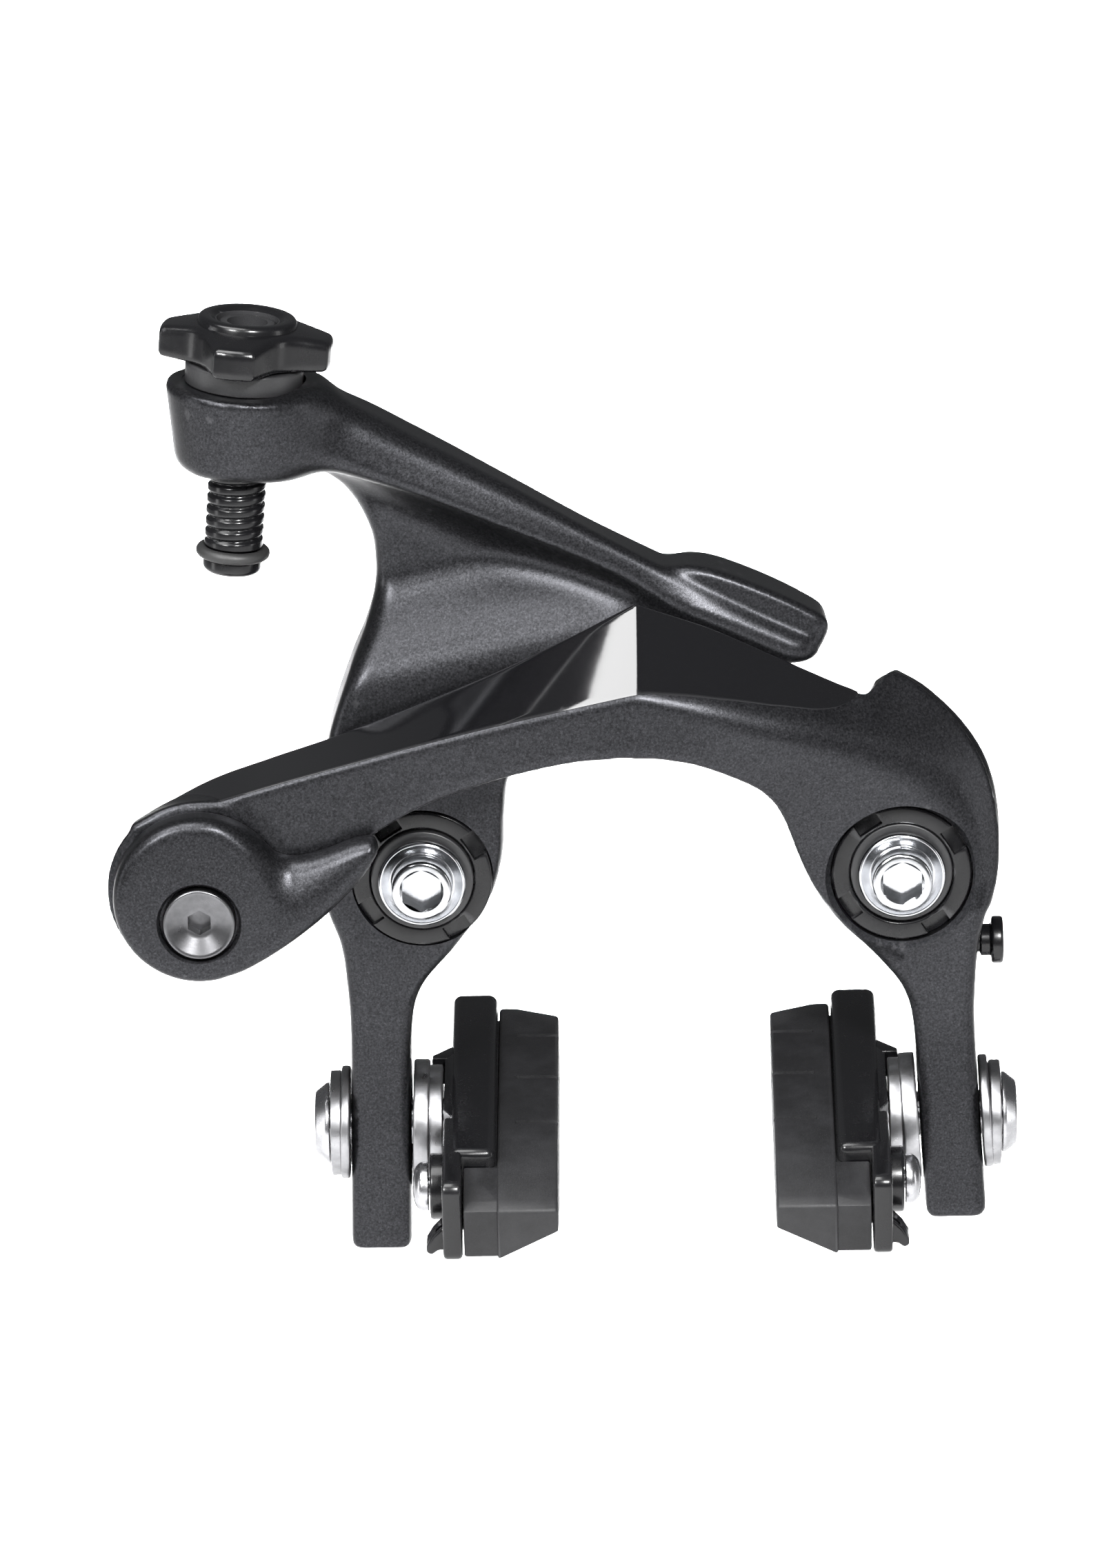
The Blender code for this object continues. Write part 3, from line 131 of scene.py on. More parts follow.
BOSS_BOTTOM_R = 8.0
BOSS_HEIGHT = 11.0
COLLAR_R = 7.6
COLLAR_HEIGHT = 2.9
DIAL_TIP_R = 11.1
DIAL_VALLEY_R = 7.6
DIAL_TIP_WIDTH = 5.1
DIAL_THICK = 4.9
DIAL_LOBES = 4
DIAL_TURN = -6.3
HUB_R = 6.5
HUB_HEIGHT = 1.0
O_RING_R = 0.75
END_R = 12.1
END_BACK_R = 9.6
LEVER_X = -59.2
LEVER_Z = 2.6
LEVER_R = 11.0
LEVER_THICK = 5.0
ECCENTRICITY = 2.8
HUB_SHAFT_R = 7.5
ANCHOR_BOLT_R = 2.5
ANCHOR_HEAD_R = 4.7
ANCHOR_HEAD_SEAT = 2.0
ANCHOR_HEX = 2.9
CLAMP_R = 5.2
CLAMP_THICK = 1.6
ANCHOR_NUT_ACROSS = 8.0
ANCHOR_NUT_THICK = 3.0
ROLLER_R = 3.0
ROLLER_LENGTH = 5.0
ROLLER_PIN_R = 1.5
ROLLER_Z = 26.0
CENTRING_X = 41.0
CENTRING_Z = -11.5
CENTRING_FORWARD = 10.0
SHOE_LENGTH = 54.0
SHOE_TILT = 8.0
SHOE_FORWARD = 11.0
SHOE_HEIGHT = 12.0
SLOT_FORWARD = 9.4
PAD_ABOVE = 4.0
PAD_BELOW = 6.1
PAD_BASE_X = 21.95
HOLDER_X = 22.15
HOLDER_BACK_X = 28.05
WALL_IN_X = 26.45
HOLDER_OUT_X = 28.95
SHOE_BOSS_X = 28.95
NOSE_LENGTH = 8.6
SHOE_BOLT_R = 2.9
SHOE_HEAD_R = 5.3
SHOE_HEX = 4.0
PAD_SCREW_ALONG = -16.4
PAD_SCREW_R = 3.2
PAD_SCREW_SHANK_R = 1.2
PAD_SCREW_HEX = 2.0
GROOVES_ALONG = (9.2, 21.0, 33.6)  # from the pad's back end
WEB_FACE = 16.0
WEB_HOLLOW = 7.8

# Fineness
VOXEL = 0.4
FINE_VOXEL = 0.22
BAND = 6.0  # how far from a surface its distances are known
STEPS = 96  # around a turned piece
CORNER_STEPS = 5  # along a rounded corner of a turned piece
GRID_MARGIN = 1.2

WORK = bpy.data.collections.new("work")
bpy.context.scene.collection.children.link(WORK)


# ---------------------------------------------------------------- solids


def bmesh_object(name, body):
    """A helper object in millimetres, removed once the piece that uses it is made."""
    bmesh.ops.recalc_face_normals(body, faces=body.faces)
    mesh = bpy.data.meshes.new(name)
    body.to_mesh(mesh)
    body.free()
    obj = bpy.data.objects.new(name, mesh)
    WORK.objects.link(obj)
    return obj


def rotation_to(axis):
    """The rotation that takes +Z to the axis."""
    return Vector((0, 0, 1)).rotation_difference(Vector(axis).normalized()).to_matrix().to_4x4()


def at(x, forward, z, axis=(0, -1, 0)):
    """Places a shape whose own +Z runs along axis."""
    return Matrix.Translation((x, -forward, z)) @ rotation_to(axis)


def arc(centre, radius, start, end, count):
    angles = [math.radians(start + (end - start) * i / (count - 1)) for i in range(count)]
    return [(centre[0] + radius * math.cos(a), centre[1] + radius * math.sin(a)) for a in angles]


def softened(profile):
    """Rounds each corner of an open profile that has a third value, its radius."""
    points = []
    last = len(profile) - 1
    for i, corner in enumerate(profile):
        here = Vector(corner[:2])
        if len(corner) < 3 or i in (0, last):
            points.append(tuple(here))
            continue
        before, after = Vector(profile[i - 1][:2]) - here, Vector(profile[i + 1][:2]) - here
        reach = min(corner[2], 0.48 * before.length, 0.48 * after.length)
        start, end = here + before.normalized() * reach, here + after.normalized() * reach
        for k in range(CORNER_STEPS + 1):
            u = k / CORNER_STEPS
            points.append(tuple(start * (1 - u) ** 2 + here * (2 * u * (1 - u)) + end * u * u))
    return points


def turned(name, profile, matrix, steps=None, soft=True):
    """Revolves a profile of (radius, height, corner radius) about its own Z, from top to bottom."""
    steps = steps or STEPS
    points = softened(profile) if soft else [p[:2] for p in profile]
    body = bmesh.new()
    rings = []
    for radius, height in points:
        if radius < 1e-6:
            rings.append([body.verts.new((0, 0, height))])
            continue
        rings.append([
            body.verts.new((radius * math.cos(a), radius * math.sin(a), height))
            for a in (2 * math.pi * k / steps for k in range(steps))
        ])
    if len(rings[0]) > 1 and len(rings[-1]) > 1:
        rings.append(rings[0])
    for ring, following in zip(rings, rings[1:]):
        for k in range(steps):
            corners = [ring[k % len(ring)], ring[(k + 1) % len(ring)]]
            corners += [following[(k + 1) % len(following)], following[k % len(following)]]
            corners = list(dict.fromkeys(corners))
            if len(corners) > 2:
                body.faces.new(corners)
    bmesh.ops.transform(body, matrix=matrix, verts=body.verts)
    return bmesh_object(name, body)


def ring_of(name, outer, inner, low, high, matrix, soft=0.3):
    """A washer or sleeve with softened edges."""
    middle = (low + high) / 2
    profile = [(inner, middle), (inner, high, soft), (outer, high, soft)]
    profile += [(outer, low, soft), (inner, low, soft)]
    return turned(name, profile, matrix)


def prism(name, outline, low, high, matrix):
    body = bmesh.new()
    floor = body.faces.new([body.verts.new((x, y, low)) for x, y in outline])
    top = bmesh.ops.extrude_face_region(body, geom=[floor])
    raised = [v for v in top["geom"] if isinstance(v, bmesh.types.BMVert)]
    bmesh.ops.translate(body, verts=raised, vec=(0, 0, high - low))
    bmesh.ops.transform(body, matrix=matrix, verts=body.verts)
    return bmesh_object(name, body)


def cylinder(name, radius, low, high, matrix, sides=None):
    body = bmesh.new()
    bmesh.ops.create_cone(
        body,
        cap_ends=True,
        segments=sides or STEPS,
        radius1=radius,
        radius2=radius,
        depth=high - low,
        matrix=matrix @ Matrix.Translation((0, 0, (low + high) / 2)),
    )
    return bmesh_object(name, body)


def hex_cutter(name, across_flats, low, high, matrix):
    return cylinder(name, across_flats / math.sqrt(3), low, high, matrix, sides=6)


def block(name, low, high, matrix=None):
    body = bmesh.new()
    low, high = Vector(low), Vector(high)
    bmesh.ops.create_cube(body, size=1)
    placed = (matrix or Matrix.Identity(4)) @ Matrix.Translation((low + high) / 2)
    bmesh.ops.transform(body, matrix=placed @ Matrix.Diagonal((*(high - low), 1)), verts=body.verts)
    return bmesh_object(name, body)


def hull(name, points, matrix):
    body = bmesh.new()
    for point in points:
        body.verts.new(point)
    bmesh.ops.convex_hull(body, input=body.verts)
    bmesh.ops.transform(body, matrix=matrix, verts=body.verts)
    return bmesh_object(name, body)


def combine(obj, others, operation, solver="EXACT"):
    for other in others:
        step = obj.modifiers.new(operation.lower(), "BOOLEAN")
        step.operation = operation
        step.object = other
        step.solver = solver
    return obj


def cut(obj, *cutters, solver="EXACT"):
    return combine(obj, cutters, "DIFFERENCE", solver)


def join(obj, *others):
    return combine(obj, others, "UNION")


def bevel(obj, width, segments=3, angle=30):
    step = obj.modifiers.new("bevel", "BEVEL")
    step.width = width
    step.segments = segments
    step.limit_method = "ANGLE"
    step.angle_limit = math.radians(angle)
    step.use_clamp_overlap = True
    return obj


def applied(obj):
    """The object with its modifiers made part of its mesh."""
    bpy.context.view_layer.update()
    graph = bpy.context.evaluated_depsgraph_get()
    mesh = bpy.data.meshes.new_from_object(obj.evaluated_get(graph))
    obj.modifiers.clear()
    obj.data = mesh
    return obj


def piece(obj, name, look, body, sharp=32, added=False):
    """Makes a shown piece, in metres, of a helper in millimetres.

    It stands in for the CAD node of the same name, unless it is added to what the CAD model has.
    """
    nodes = () if added else (name,)
    applied(obj)
    mesh = obj.data
    mesh.transform(obj.matrix_world)
    obj.matrix_world = Matrix.Identity(4)
    mesh.transform(Matrix.Scale(MM, 4))
    mesh.materials.clear()
    mesh.materials.append(look)
    mesh.shade_smooth()
    mesh.set_sharp_from_angle(angle=math.radians(sharp))
    obj.name = mesh.name = "shown_" + name
    WORK.objects.unlink(obj)
    bpy.context.scene.collection.objects.link(obj)
    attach(obj, body)
    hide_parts(*nodes)
    return obj


# ---------------------------------------------------------------- forged shapes from distance fields


def spline_point(points, t):
    """A point of a smooth curve through all the points, for t from 0 to 1."""
    last = len(points) - 1
    i = min(int(t * last), last - 1)
    u = t * last - i
    b, c = points[i], points[i + 1]
    a = points[i - 1] if i else b * 2 - c
    d = points[i + 2] if i + 2 <= last else c * 2 - b
    return (b * 2 + (c - a) * u + (a * 2 - b * 5 + c * 4 - d) * u * u + (b * 3 - a - c * 3 + d) * u**3) / 2


def smooth_step(value, low, high):
    u = np.clip((value - low) / (high - low), 0, 1)
    return u * u * (3 - 2 * u)


def rounded(section, radii, steps):
    """A closed section with its corners rounded."""
    points = []
    count = len(section)
    for i, corner in enumerate(section):
        before, after = section[i - 1] - corner, section[(i + 1) % count] - corner
        reach = min(radii[i], 0.45 * before.length, 0.45 * after.length)
        start, end = corner + before.normalized() * reach, corner + after.normalized() * reach
        for k in range(steps + 1):
            u = k / steps
            points.append(start * (1 - u) ** 2 + corner * (2 * u * (1 - u)) + end * u * u)
    return points


class Rails:
    """Sections of a shape along its length. Radii are one tuple, or one for each station."""

    def __init__(self, stations, radii):
        if not isinstance(radii[0], tuple):
            radii = [radii] * len(stations)
        self.corners = list(zip(*stations))
        self.radii = [[Vector((r, 0, 0)) for r in rail] for rail in zip(*radii)]

    def section(self, t, steps=8):
        corners = [spline_point(rail, t) for rail in self.corners]
        radii = [max(0.2, spline_point(rail, t).x) for rail in self.radii]
        return rounded(corners, radii, steps)


def loft(name, stations, radii, samples=160):
    rails = Rails(stations, radii)
    body = bmesh.new()
    rings = [[body.verts.new(p) for p in rails.section(s / samples)] for s in range(samples + 1)]
    for ring, following in zip(rings, rings[1:]):
        for i in range(len(ring)):
            body.faces.new((ring[i - 1], ring[i], following[i], following[i - 1]))
    body.faces.new(rings[0])
    body.faces.new(rings[-1][::-1])
    return bmesh_object(name, body)


def grid_box(objects):
    points = np.concatenate([mesh_points(obj) for obj in objects])
    return points.min(0) - GRID_MARGIN, points.max(0) + GRID_MARGIN


def mesh_points(obj):
    points = np.empty(len(obj.data.vertices) * 3, np.float32)
    obj.data.vertices.foreach_get("co", points)
    return points.reshape(-1, 3)


def distances(obj, box, voxel):
    """Signed distances to the surface of obj on a grid over the box, positive outside."""
    applied(obj)
    mesh = obj.data
    mesh.calc_loop_triangles()
    triangles = np.empty(len(mesh.loop_triangles) * 3, np.int32)
    mesh.loop_triangles.foreach_get("vertices", triangles)
    grid = openvdb.FloatGrid.createLevelSetFromPolygons(
        mesh_points(obj),
        triangles=triangles.reshape(-1, 3).astype(np.uint32),
        transform=openvdb.createLinearTransform(voxel),
        halfWidth=BAND / voxel,
    )
    low = np.floor(box[0] / voxel).astype(int)
    size = np.ceil(box[1] / voxel).astype(int) - low + 1
    values = np.empty(tuple(size), np.float32)
    grid.copyToArray(values, ijk=tuple(int(v) for v in low))
    return values


def places(box, voxel):
    """The grid's coordinates along each axis."""
    low = np.floor(box[0] / voxel).astype(int)
    high = np.ceil(box[1] / voxel).astype(int)
    axes = [np.arange(low[i], high[i] + 1, dtype=np.float32) * voxel for i in range(3)]
    return np.meshgrid(*axes, indexing="ij", sparse=True)


def blended(a, b, reach):
    """The union of two fields, with a fillet of about this reach where they meet."""
    near = np.clip(reach - np.abs(a - b), 0, None) / reach
    return np.minimum(a, b) - near * near * reach * 0.25


def ended(field, box, voxel, point, normal, reach):
    """Cuts a field off at a plane, with its edges rounded."""
    x, y, z = places(box, voxel)
    plane = (x - point[0]) * normal[0] + (y - point[1]) * normal[1] + (z - point[2]) * normal[2]
    return -blended(-field, -plane, reach)


def meshed(name, values, box, voxel, smoothing=3):
    low = np.floor(box[0] / voxel).astype(int)
    grid = openvdb.FloatGrid(BAND)
    grid.transform = openvdb.createLinearTransform(voxel)
    grid.copyFromArray(np.ascontiguousarray(values, np.float32), ijk=tuple(int(v) for v in low))
    grid.gridClass = openvdb.GridClass.LEVEL_SET
    points, triangles, quads = grid.convertToPolygons(isovalue=0.0, adaptivity=0.0)
    faces = [tuple(int(i) for i in face) for kind in (quads, triangles) for face in kind]
    mesh = bpy.data.meshes.new(name)
    mesh.from_pydata([tuple(p) for p in points.tolist()], [], faces)
    body = bmesh.new()
    body.from_mesh(mesh)
    bpy.data.meshes.remove(mesh)
    if body.calc_volume(signed=True) < 0:
        bmesh.ops.reverse_faces(body, faces=body.faces)
    obj = bmesh_object(name, body)
    if smoothing:
        step = obj.modifiers.new("smooth", "SMOOTH")
        step.factor = 0.5
        step.iterations = smoothing
    return applied(obj)


def drawn(x, forward, z):
    return Vector((x, -forward, z))


def leg_rows(side, lean, shorter):
    """Inner x, outer x and height of three sections down a leaning leg."""
    rows = []
    for z in (-22.4, -35.6, shorter - 54.5):
        inner = LEG_IN_X - (z + 35.6) * math.tan(math.radians(lean))
        rows.append((side * inner, side * (inner + LEG_THICK), z))
    return rows


def leg_place(x, forward, z):
    """A point of the pivot part of an arm, which moves over to the leg's own place below."""
    share = min(1, max(0, (-5 - z) / 11))
    return Vector((x + share * (LEG_IN_X - 33.2) * math.copysign(1, x), -forward, z))


# ---------------------------------------------------------------- finishes


class Tree:
    """Short calls for building a material's nodes."""

    def __init__(self, name):
        self.material = bpy.data.materials.new(name)
        self.material.use_nodes = True
        self.nodes = self.material.node_tree.nodes
        self.links = self.material.node_tree.links
        self.shader = self.nodes["Principled BSDF"]
        self.place = self.add("ShaderNodeTexCoord").outputs["Object"]

    def add(self, kind, **settings):
        node = self.nodes.new(kind)
        for key, value in settings.items():
            setattr(node, key, value)
        return node

    def feed(self, socket, value):
        if isinstance(value, (int, float)):
            socket.default_value = value
        elif isinstance(value, tuple):
            opaque = len(value) == 3 and len(socket.default_value) == 4
            socket.default_value = (*value, 1) if opaque else value
        else:
            self.links.new(value, socket)

    def math(self, operation, a, b):
        node = self.add("ShaderNodeMath", operation=operation)
        self.feed(node.inputs[0], a)
        self.feed(node.inputs[1], b)
        return node.outputs[0]

    def noise(self, per_mm, detail=2.0, roughness=0.5, place=None):
        node = self.add("ShaderNodeTexNoise")
        self.feed(node.inputs["Vector"], place or self.place)
        node.inputs["Scale"].default_value = per_mm / MM
        node.inputs["Detail"].default_value = detail
        node.inputs["Roughness"].default_value = roughness
        return node.outputs["Fac"]

    def cells(self, per_mm):
        node = self.add("ShaderNodeTexVoronoi")
        self.feed(node.inputs["Vector"], self.place)
        node.inputs["Scale"].default_value = per_mm / MM
        return node

    def span(self, value, low, high, to_low=0.0, to_high=1.0):
        node = self.add("ShaderNodeMapRange", clamp=True)
        self.feed(node.inputs["Value"], value)
        for key, number in (("From Min", low), ("From Max", high), ("To Min", to_low), ("To Max", to_high)):
            self.feed(node.inputs[key], number)
        return node.outputs["Result"]

    def mixed(self, share, a, b):
        node = self.add("ShaderNodeMix", data_type="RGBA")
        self.feed(node.inputs["Factor"], share)
        self.feed(node.inputs[6], a)
        self.feed(node.inputs[7], b)
        return node.outputs[2]

    def bump(self, height, strength, distance):
        node = self.add("ShaderNodeBump")
        node.inputs["Strength"].default_value = strength
        node.inputs["Distance"].default_value = distance * MM
        self.feed(node.inputs["Height"], height)
        return node.outputs["Normal"]

    def edges(self):
        """1 along convex edges, 0 on plain faces, from how much the surface bends: the mask for a painted
        highlight along edges.
        """
        node = self.add("ShaderNodeNewGeometry")
        return self.span(node.outputs["Pointiness"], 0.53, 0.62)

    def set(self, **values):
        for key, value in values.items():
            self.feed(self.shader.inputs[key.replace("_", " ").title().replace("Ior", "IOR")], value)
        return self.material


def paint(name):
    """Matte anthracite paint with fine metal flakes, and a painted highlight along its edges."""
    t = Tree(name)
    flake = t.cells(5.5)
    spark = t.span(flake.outputs["Color"], 0.62, 0.98)
    grain = t.noise(3.2, detail=3, roughness=0.7)
    cloud = t.noise(0.05, detail=2)
    level = t.math("ADD", t.math("MULTIPLY", spark, 0.6), t.span(grain, 0.3, 0.72))
    level = t.math("ADD", level, t.span(cloud, 0.35, 0.65, -0.06, 0.06))
    colour = t.mixed(t.span(level, 0.0, 1.6), (0.010, 0.0102, 0.0114), (0.056, 0.0565, 0.062))
    # painted highlight: convex edges lightened towards pale grey
    colour = t.mixed(t.math("MULTIPLY", t.edges(), 0.3), colour, (0.1, 0.1, 0.105))
    rough = t.span(grain, 0.3, 0.7, 0.31, 0.39)
    normal = t.bump(t.math("ADD", grain, t.math("MULTIPLY", flake.outputs["Distance"], 0.5)), 0.2, 0.05)
    return t.set(base_color=colour, roughness=rough, metallic=0.85, normal=normal, specular_ior_level=0.5)


def gloss_black(name, colour=(0.004, 0.004, 0.0045), low=0.2, high=0.3, coat=0.12, mirror=0.28):
    t = Tree(name)
    wisps = t.noise(0.35, detail=5, roughness=0.6)
    specks = t.noise(9, detail=1)
    # painted highlight: convex edges lightened towards grey
    tint = t.mixed(t.math("MULTIPLY", t.edges(), 0.5), colour, (0.045, 0.045, 0.047))
    normal = t.bump(t.math("ADD", wisps, t.math("MULTIPLY", specks, 0.15)), 0.12, 0.04)
    t.set(coat_weight=coat)
    t.shader.inputs["Coat Roughness"].default_value = 0.1
    level = t.span(wisps, 0.35, 0.65, low, high)
    return t.set(base_color=tint, roughness=level, normal=normal, specular_ior_level=mirror)


def satin_black(name, colour=(0.017, 0.017, 0.018), rough=0.42):
    t = Tree(name)
    grain = t.noise(5, detail=3, roughness=0.65)
    # painted highlight: convex edges lightened towards grey
    tint = t.mixed(t.math("MULTIPLY", t.edges(), 0.5), colour, (0.06, 0.06, 0.062))
    normal = t.bump(grain, 0.25, 0.05)
    level = t.span(grain, 0.3, 0.7, rough - 0.05, rough + 0.08)
    return t.set(base_color=tint, roughness=level, normal=normal)


def rubber(name):
    """Brake compound: dull grey, with moulding marks, fine pits, patches of dust and a painted highlight along
    its edges.
    """
    t = Tree(name)
    grain = t.noise(4.5, detail=4, roughness=0.7)
    dust = t.noise(0.22, detail=4, roughness=0.6)
    level = t.math("ADD", t.math("MULTIPLY", t.span(dust, 0.4, 0.7), 0.5), t.math("MULTIPLY", grain, 0.35))
    colour = t.mixed(level, (0.006, 0.006, 0.0065), (0.017, 0.017, 0.0185))
    # painted highlight: convex edges lightened towards grey
    colour = t.mixed(t.math("MULTIPLY", t.edges(), 0.5), colour, (0.05, 0.05, 0.052))
    normal = t.bump(grain, 0.3, 0.06)
    rough = t.span(grain, 0.3, 0.7, 0.42, 0.62)
    return t.set(base_color=colour, roughness=rough, normal=normal, specular_ior_level=0.3)


def metal(name, colour, low, high, streaks=0.0, axis="Z"):
    """Bare or plated metal. Streaks are the marks that turning leaves, finer along the axis."""
    t = Tree(name)
    blotch = t.noise(0.5, detail=4, roughness=0.6)
    grain = t.noise(6, detail=2)
    if streaks:
        squeeze = t.add("ShaderNodeMapping")
        t.feed(squeeze.inputs["Vector"], t.place)
        squeeze.inputs["Scale"].default_value = {
            "X": (1, 0.12, 0.12),
            "Y": (0.12, 1, 0.12),
            "Z": (0.12, 0.12, 1),
        }[axis]
        lines = t.noise(9, detail=3, roughness=0.7, place=squeeze.outputs["Vector"])
        grain = t.math("ADD", t.math("MULTIPLY", grain, 1 - streaks), t.math("MULTIPLY", lines, streaks))
    dark = tuple(c * 0.72 for c in colour)
    tint = t.mixed(t.span(blotch, 0.35, 0.7), colour, dark)
    normal = t.bump(grain, 0.18, 0.03)
    rough = t.math("ADD", t.span(blotch, 0.3, 0.7, low, high), t.span(grain, 0.3, 0.7, -0.02, 0.03))
    return t.set(base_color=tint, roughness=rough, metallic=1.0, normal=normal)


PAINT = paint("anthracite_paint")
LACQUER = gloss_black("black_lacquer", (0.0035, 0.0035, 0.004), 0.05, 0.09, 0.6, 0.5)
BLACK = gloss_black("gloss_black_plastic")
RING_BLACK = gloss_black("black_anodised_ring", low=0.2, high=0.3)
SATIN = satin_black("satin_black_plastic")
ANCHOR_GREY = metal("dark_plated_steel", (0.13, 0.13, 0.135), 0.26, 0.36, streaks=0.6, axis="Y")
PAD_RUBBER = rubber("brake_compound")
SEAL_RUBBER = satin_black("seal_rubber", (0.014, 0.014, 0.014), 0.5)
CHROME = metal("chrome_plate", (0.56, 0.57, 0.59), 0.1, 0.2)
ZINC = metal("zinc_plate", (0.33, 0.33, 0.34), 0.26, 0.42, streaks=0.7, axis="X")
BOLT_STEEL = metal("bolt_steel", (0.48, 0.48, 0.495), 0.2, 0.32, streaks=0.5, axis="X")
BRONZE = metal("sintered_bronze", (0.5, 0.33, 0.16), 0.36, 0.5)
SPRING_STEEL = metal("spring_steel", (0.09, 0.09, 0.095), 0.25, 0.4)

LEFT, RIGHT = "left_arm_group", "right_arm_group"


# ---------------------------------------------------------------- pivots


def pivot(side, x, face, arm):
    place = at(x, 0, 0)
    sleeve = [
        (SLEEVE_BORE_R, SLEEVE_LENGTH / 2),
        (SLEEVE_BORE_R, SLEEVE_LENGTH, 0.3),
        (SLEEVE_R, SLEEVE_LENGTH, 0.4),
        (SLEEVE_R, FLANGE_THICK, 0.3),
        (FLANGE_R, FLANGE_THICK, 0.3),
        (FLANGE_R, 0, 0.3),
        (SLEEVE_BORE_R, 0, 0.3),
    ]
    obj = turned(f"{side}_sleeve", sleeve, place)
    piece(obj, f"{side}_pivot_sleeve", ZINC, "fork_side")

    seat = SLEEVE_LENGTH + FIT_GAP
    head = seat + BOLT_COLLAR_HEIGHT
    top = head + BOLT_HEAD_HEIGHT
    bolt = [
        (0, top),
        (BOLT_HEAD_R, top, 0.55),
        (BOLT_HEAD_R, head - 0.5, 0.4),
        (BOLT_COLLAR_R - 0.8, head - 0.25, 0.5),
        (BOLT_COLLAR_R - 0.3, head, 0.3),
        (BOLT_COLLAR_R, head - 0.35, 0.2),
        (BOLT_COLLAR_R, seat, 0.25),
        (BOLT_R, seat, 0.1),
    ]
    thread_top, thread_end = -1.5, -BOLT_REACH + 0.8
    bolt.append((BOLT_R, thread_top))
    turns = int((thread_top - thread_end) / 1.0)
    for n in range(turns):
        z = thread_top - n
        bolt.append((BOLT_R - 0.42, z - 0.5, 0.1))
        bolt.append((BOLT_R, z - 1.0, 0.1))
    bolt += [(BOLT_R - 0.9, -BOLT_REACH, 0.3), (0, -BOLT_REACH)]
    obj = turned(f"{side}_bolt", bolt, place)
    cut(obj, hex_cutter("hex", MOUNT_HEX, top - 2.4, top + 1, place))
    wide, narrow = MOUNT_HEX / 2 + 0.95, MOUNT_HEX / 2 - 0.1
    lead = [(0, top + 0.6), (wide, top + 0.6), (narrow, top - 0.45), (0, top - 0.45)]
    cut(obj, turned("hex_lead", lead, place, soft=False))
    piece(obj, f"{side}_mount_bolt", CHROME, "fork_side")

    low = ARM_BACK + SPRING_POCKET_DEEP
    high = face - RING_THICK - FIT_GAP
    inner = SLEEVE_R + RUNNING_GAP
    obj = ring_of(f"{side}_bush", BUSH_R, inner, low, high, place, 0.1)
    piece(obj, f"{side}_pivot_bush", BRONZE, arm)

    ring_in = SLEEVE_R + 1.7
    ring = [
        (ring_in, face - 1.5),
        (ring_in, face - 0.6, 0.35),
        (RING_R, face - 0.6, 0.45),
        (RING_R, face - RING_THICK, 0.2),
        (ring_in, face - RING_THICK, 0.2),
    ]
    obj = turned(f"{side}_ring", ring, place)
    for n in range(RING_NOTCHES):
        turn = math.radians(RING_NOTCH_ANGLE + 360 / RING_NOTCHES * n)
        notch = block(
            "notch",
            (BUSH_R + 0.7, -RING_NOTCH_WIDTH / 2, face - 1.6),
            (RING_R + 2, RING_NOTCH_WIDTH / 2, face + 1),
            place @ Matrix.Rotation(turn, 4, "Z"),
        )
        cut(obj, notch)
    bevel(obj, 0.14, 2, 50)
    piece(obj, f"{side}_ring_nut", RING_BLACK, arm)

    obj = ring_of(f"{side}_dust", ring_in - 0.08, inner, high + 0.2, SLEEVE_LENGTH - 0.1, place, 0.3)
    piece(obj, f"{side}_dust_ring", SATIN, arm)
    obj = ring_of(
        f"{side}_seal", FLANGE_R - 0.4, SLEEVE_R + 0.3, FLANGE_THICK + 0.1, FLANGE_THICK + 0.8, place, 0.2
    )
    piece(obj, f"{side}_pivot_seal", SEAL_RUBBER, arm)


def return_spring(side, x, way, arm):
    coil_r = SLEEVE_R + 0.5 + SPRING_WIRE_R
    pitch = SPRING_WIRE_R * 2.35
    start = ARM_BACK + SPRING_POCKET_DEEP - 0.4 - SPRING_WIRE_R
    points = []
    steps = 96
    for i in range(steps + 1):
        angle = way * 4 * math.pi * i / steps
        y = pitch * 2 * i / steps - start
        points.append((x + coil_r * math.sin(angle), y, -coil_r * math.cos(angle)))
    tail = Vector(points[0])
    points.insert(0, tuple(tail + Vector((-way * 3.0, 0, -0.4))))
    points.insert(0, tuple(tail + Vector((-way * 6.2, 0, -1.6))))
    curve = bpy.data.curves.new("spring", "CURVE")
    curve.dimensions = "3D"
    curve.bevel_depth = SPRING_WIRE_R
    curve.bevel_resolution = 3
    curve.use_fill_caps = True
    spline = curve.splines.new("POLY")
    spline.points.add(len(points) - 1)
    for point, spot in zip(spline.points, points):
        point.co = (*spot, 1)
    shape = bpy.data.objects.new("spring", curve)
    WORK.objects.link(shape)
    bpy.context.view_layer.update()
    mesh = bpy.data.meshes.new_from_object(shape.evaluated_get(bpy.context.evaluated_depsgraph_get()))
    bpy.data.objects.remove(shape)
    obj = bpy.data.objects.new("spring", mesh)
    WORK.objects.link(obj)
    piece(obj, f"{side}_return_spring", SPRING_STEEL, arm)


def pivot_cutters(x, face):
    """Bore, ring seat with a broken edge, and spring pocket."""
    place = at(x, 0, 0)
    seat = RING_R + FIT_GAP / 2
    front = [
        (0, face + 15),
        (seat + 0.7, face + 15),
        (seat + 0.7, face + 0.3),
        (seat, face - 0.4),
        (seat, face - RING_THICK - FIT_GAP),
        (0, face - RING_THICK - FIT_GAP),
    ]
    pocket = [
        (0, ARM_BACK + SPRING_POCKET_DEEP),
        (SPRING_POCKET_R, ARM_BACK + SPRING_POCKET_DEEP),
        (SPRING_POCKET_R, ARM_BACK + 0.4),
        (SPRING_POCKET_R + 0.6, ARM_BACK - 0.4),
        (SPRING_POCKET_R + 0.6, -5),
        (0, -5),
    ]
    return [
        cylinder("bush_bore", BUSH_R + 0.05, -4, face + 14, place),
        turned("ring_seat", front, place, soft=False),
        turned("spring_pocket", pocket, place, soft=False),
    ]


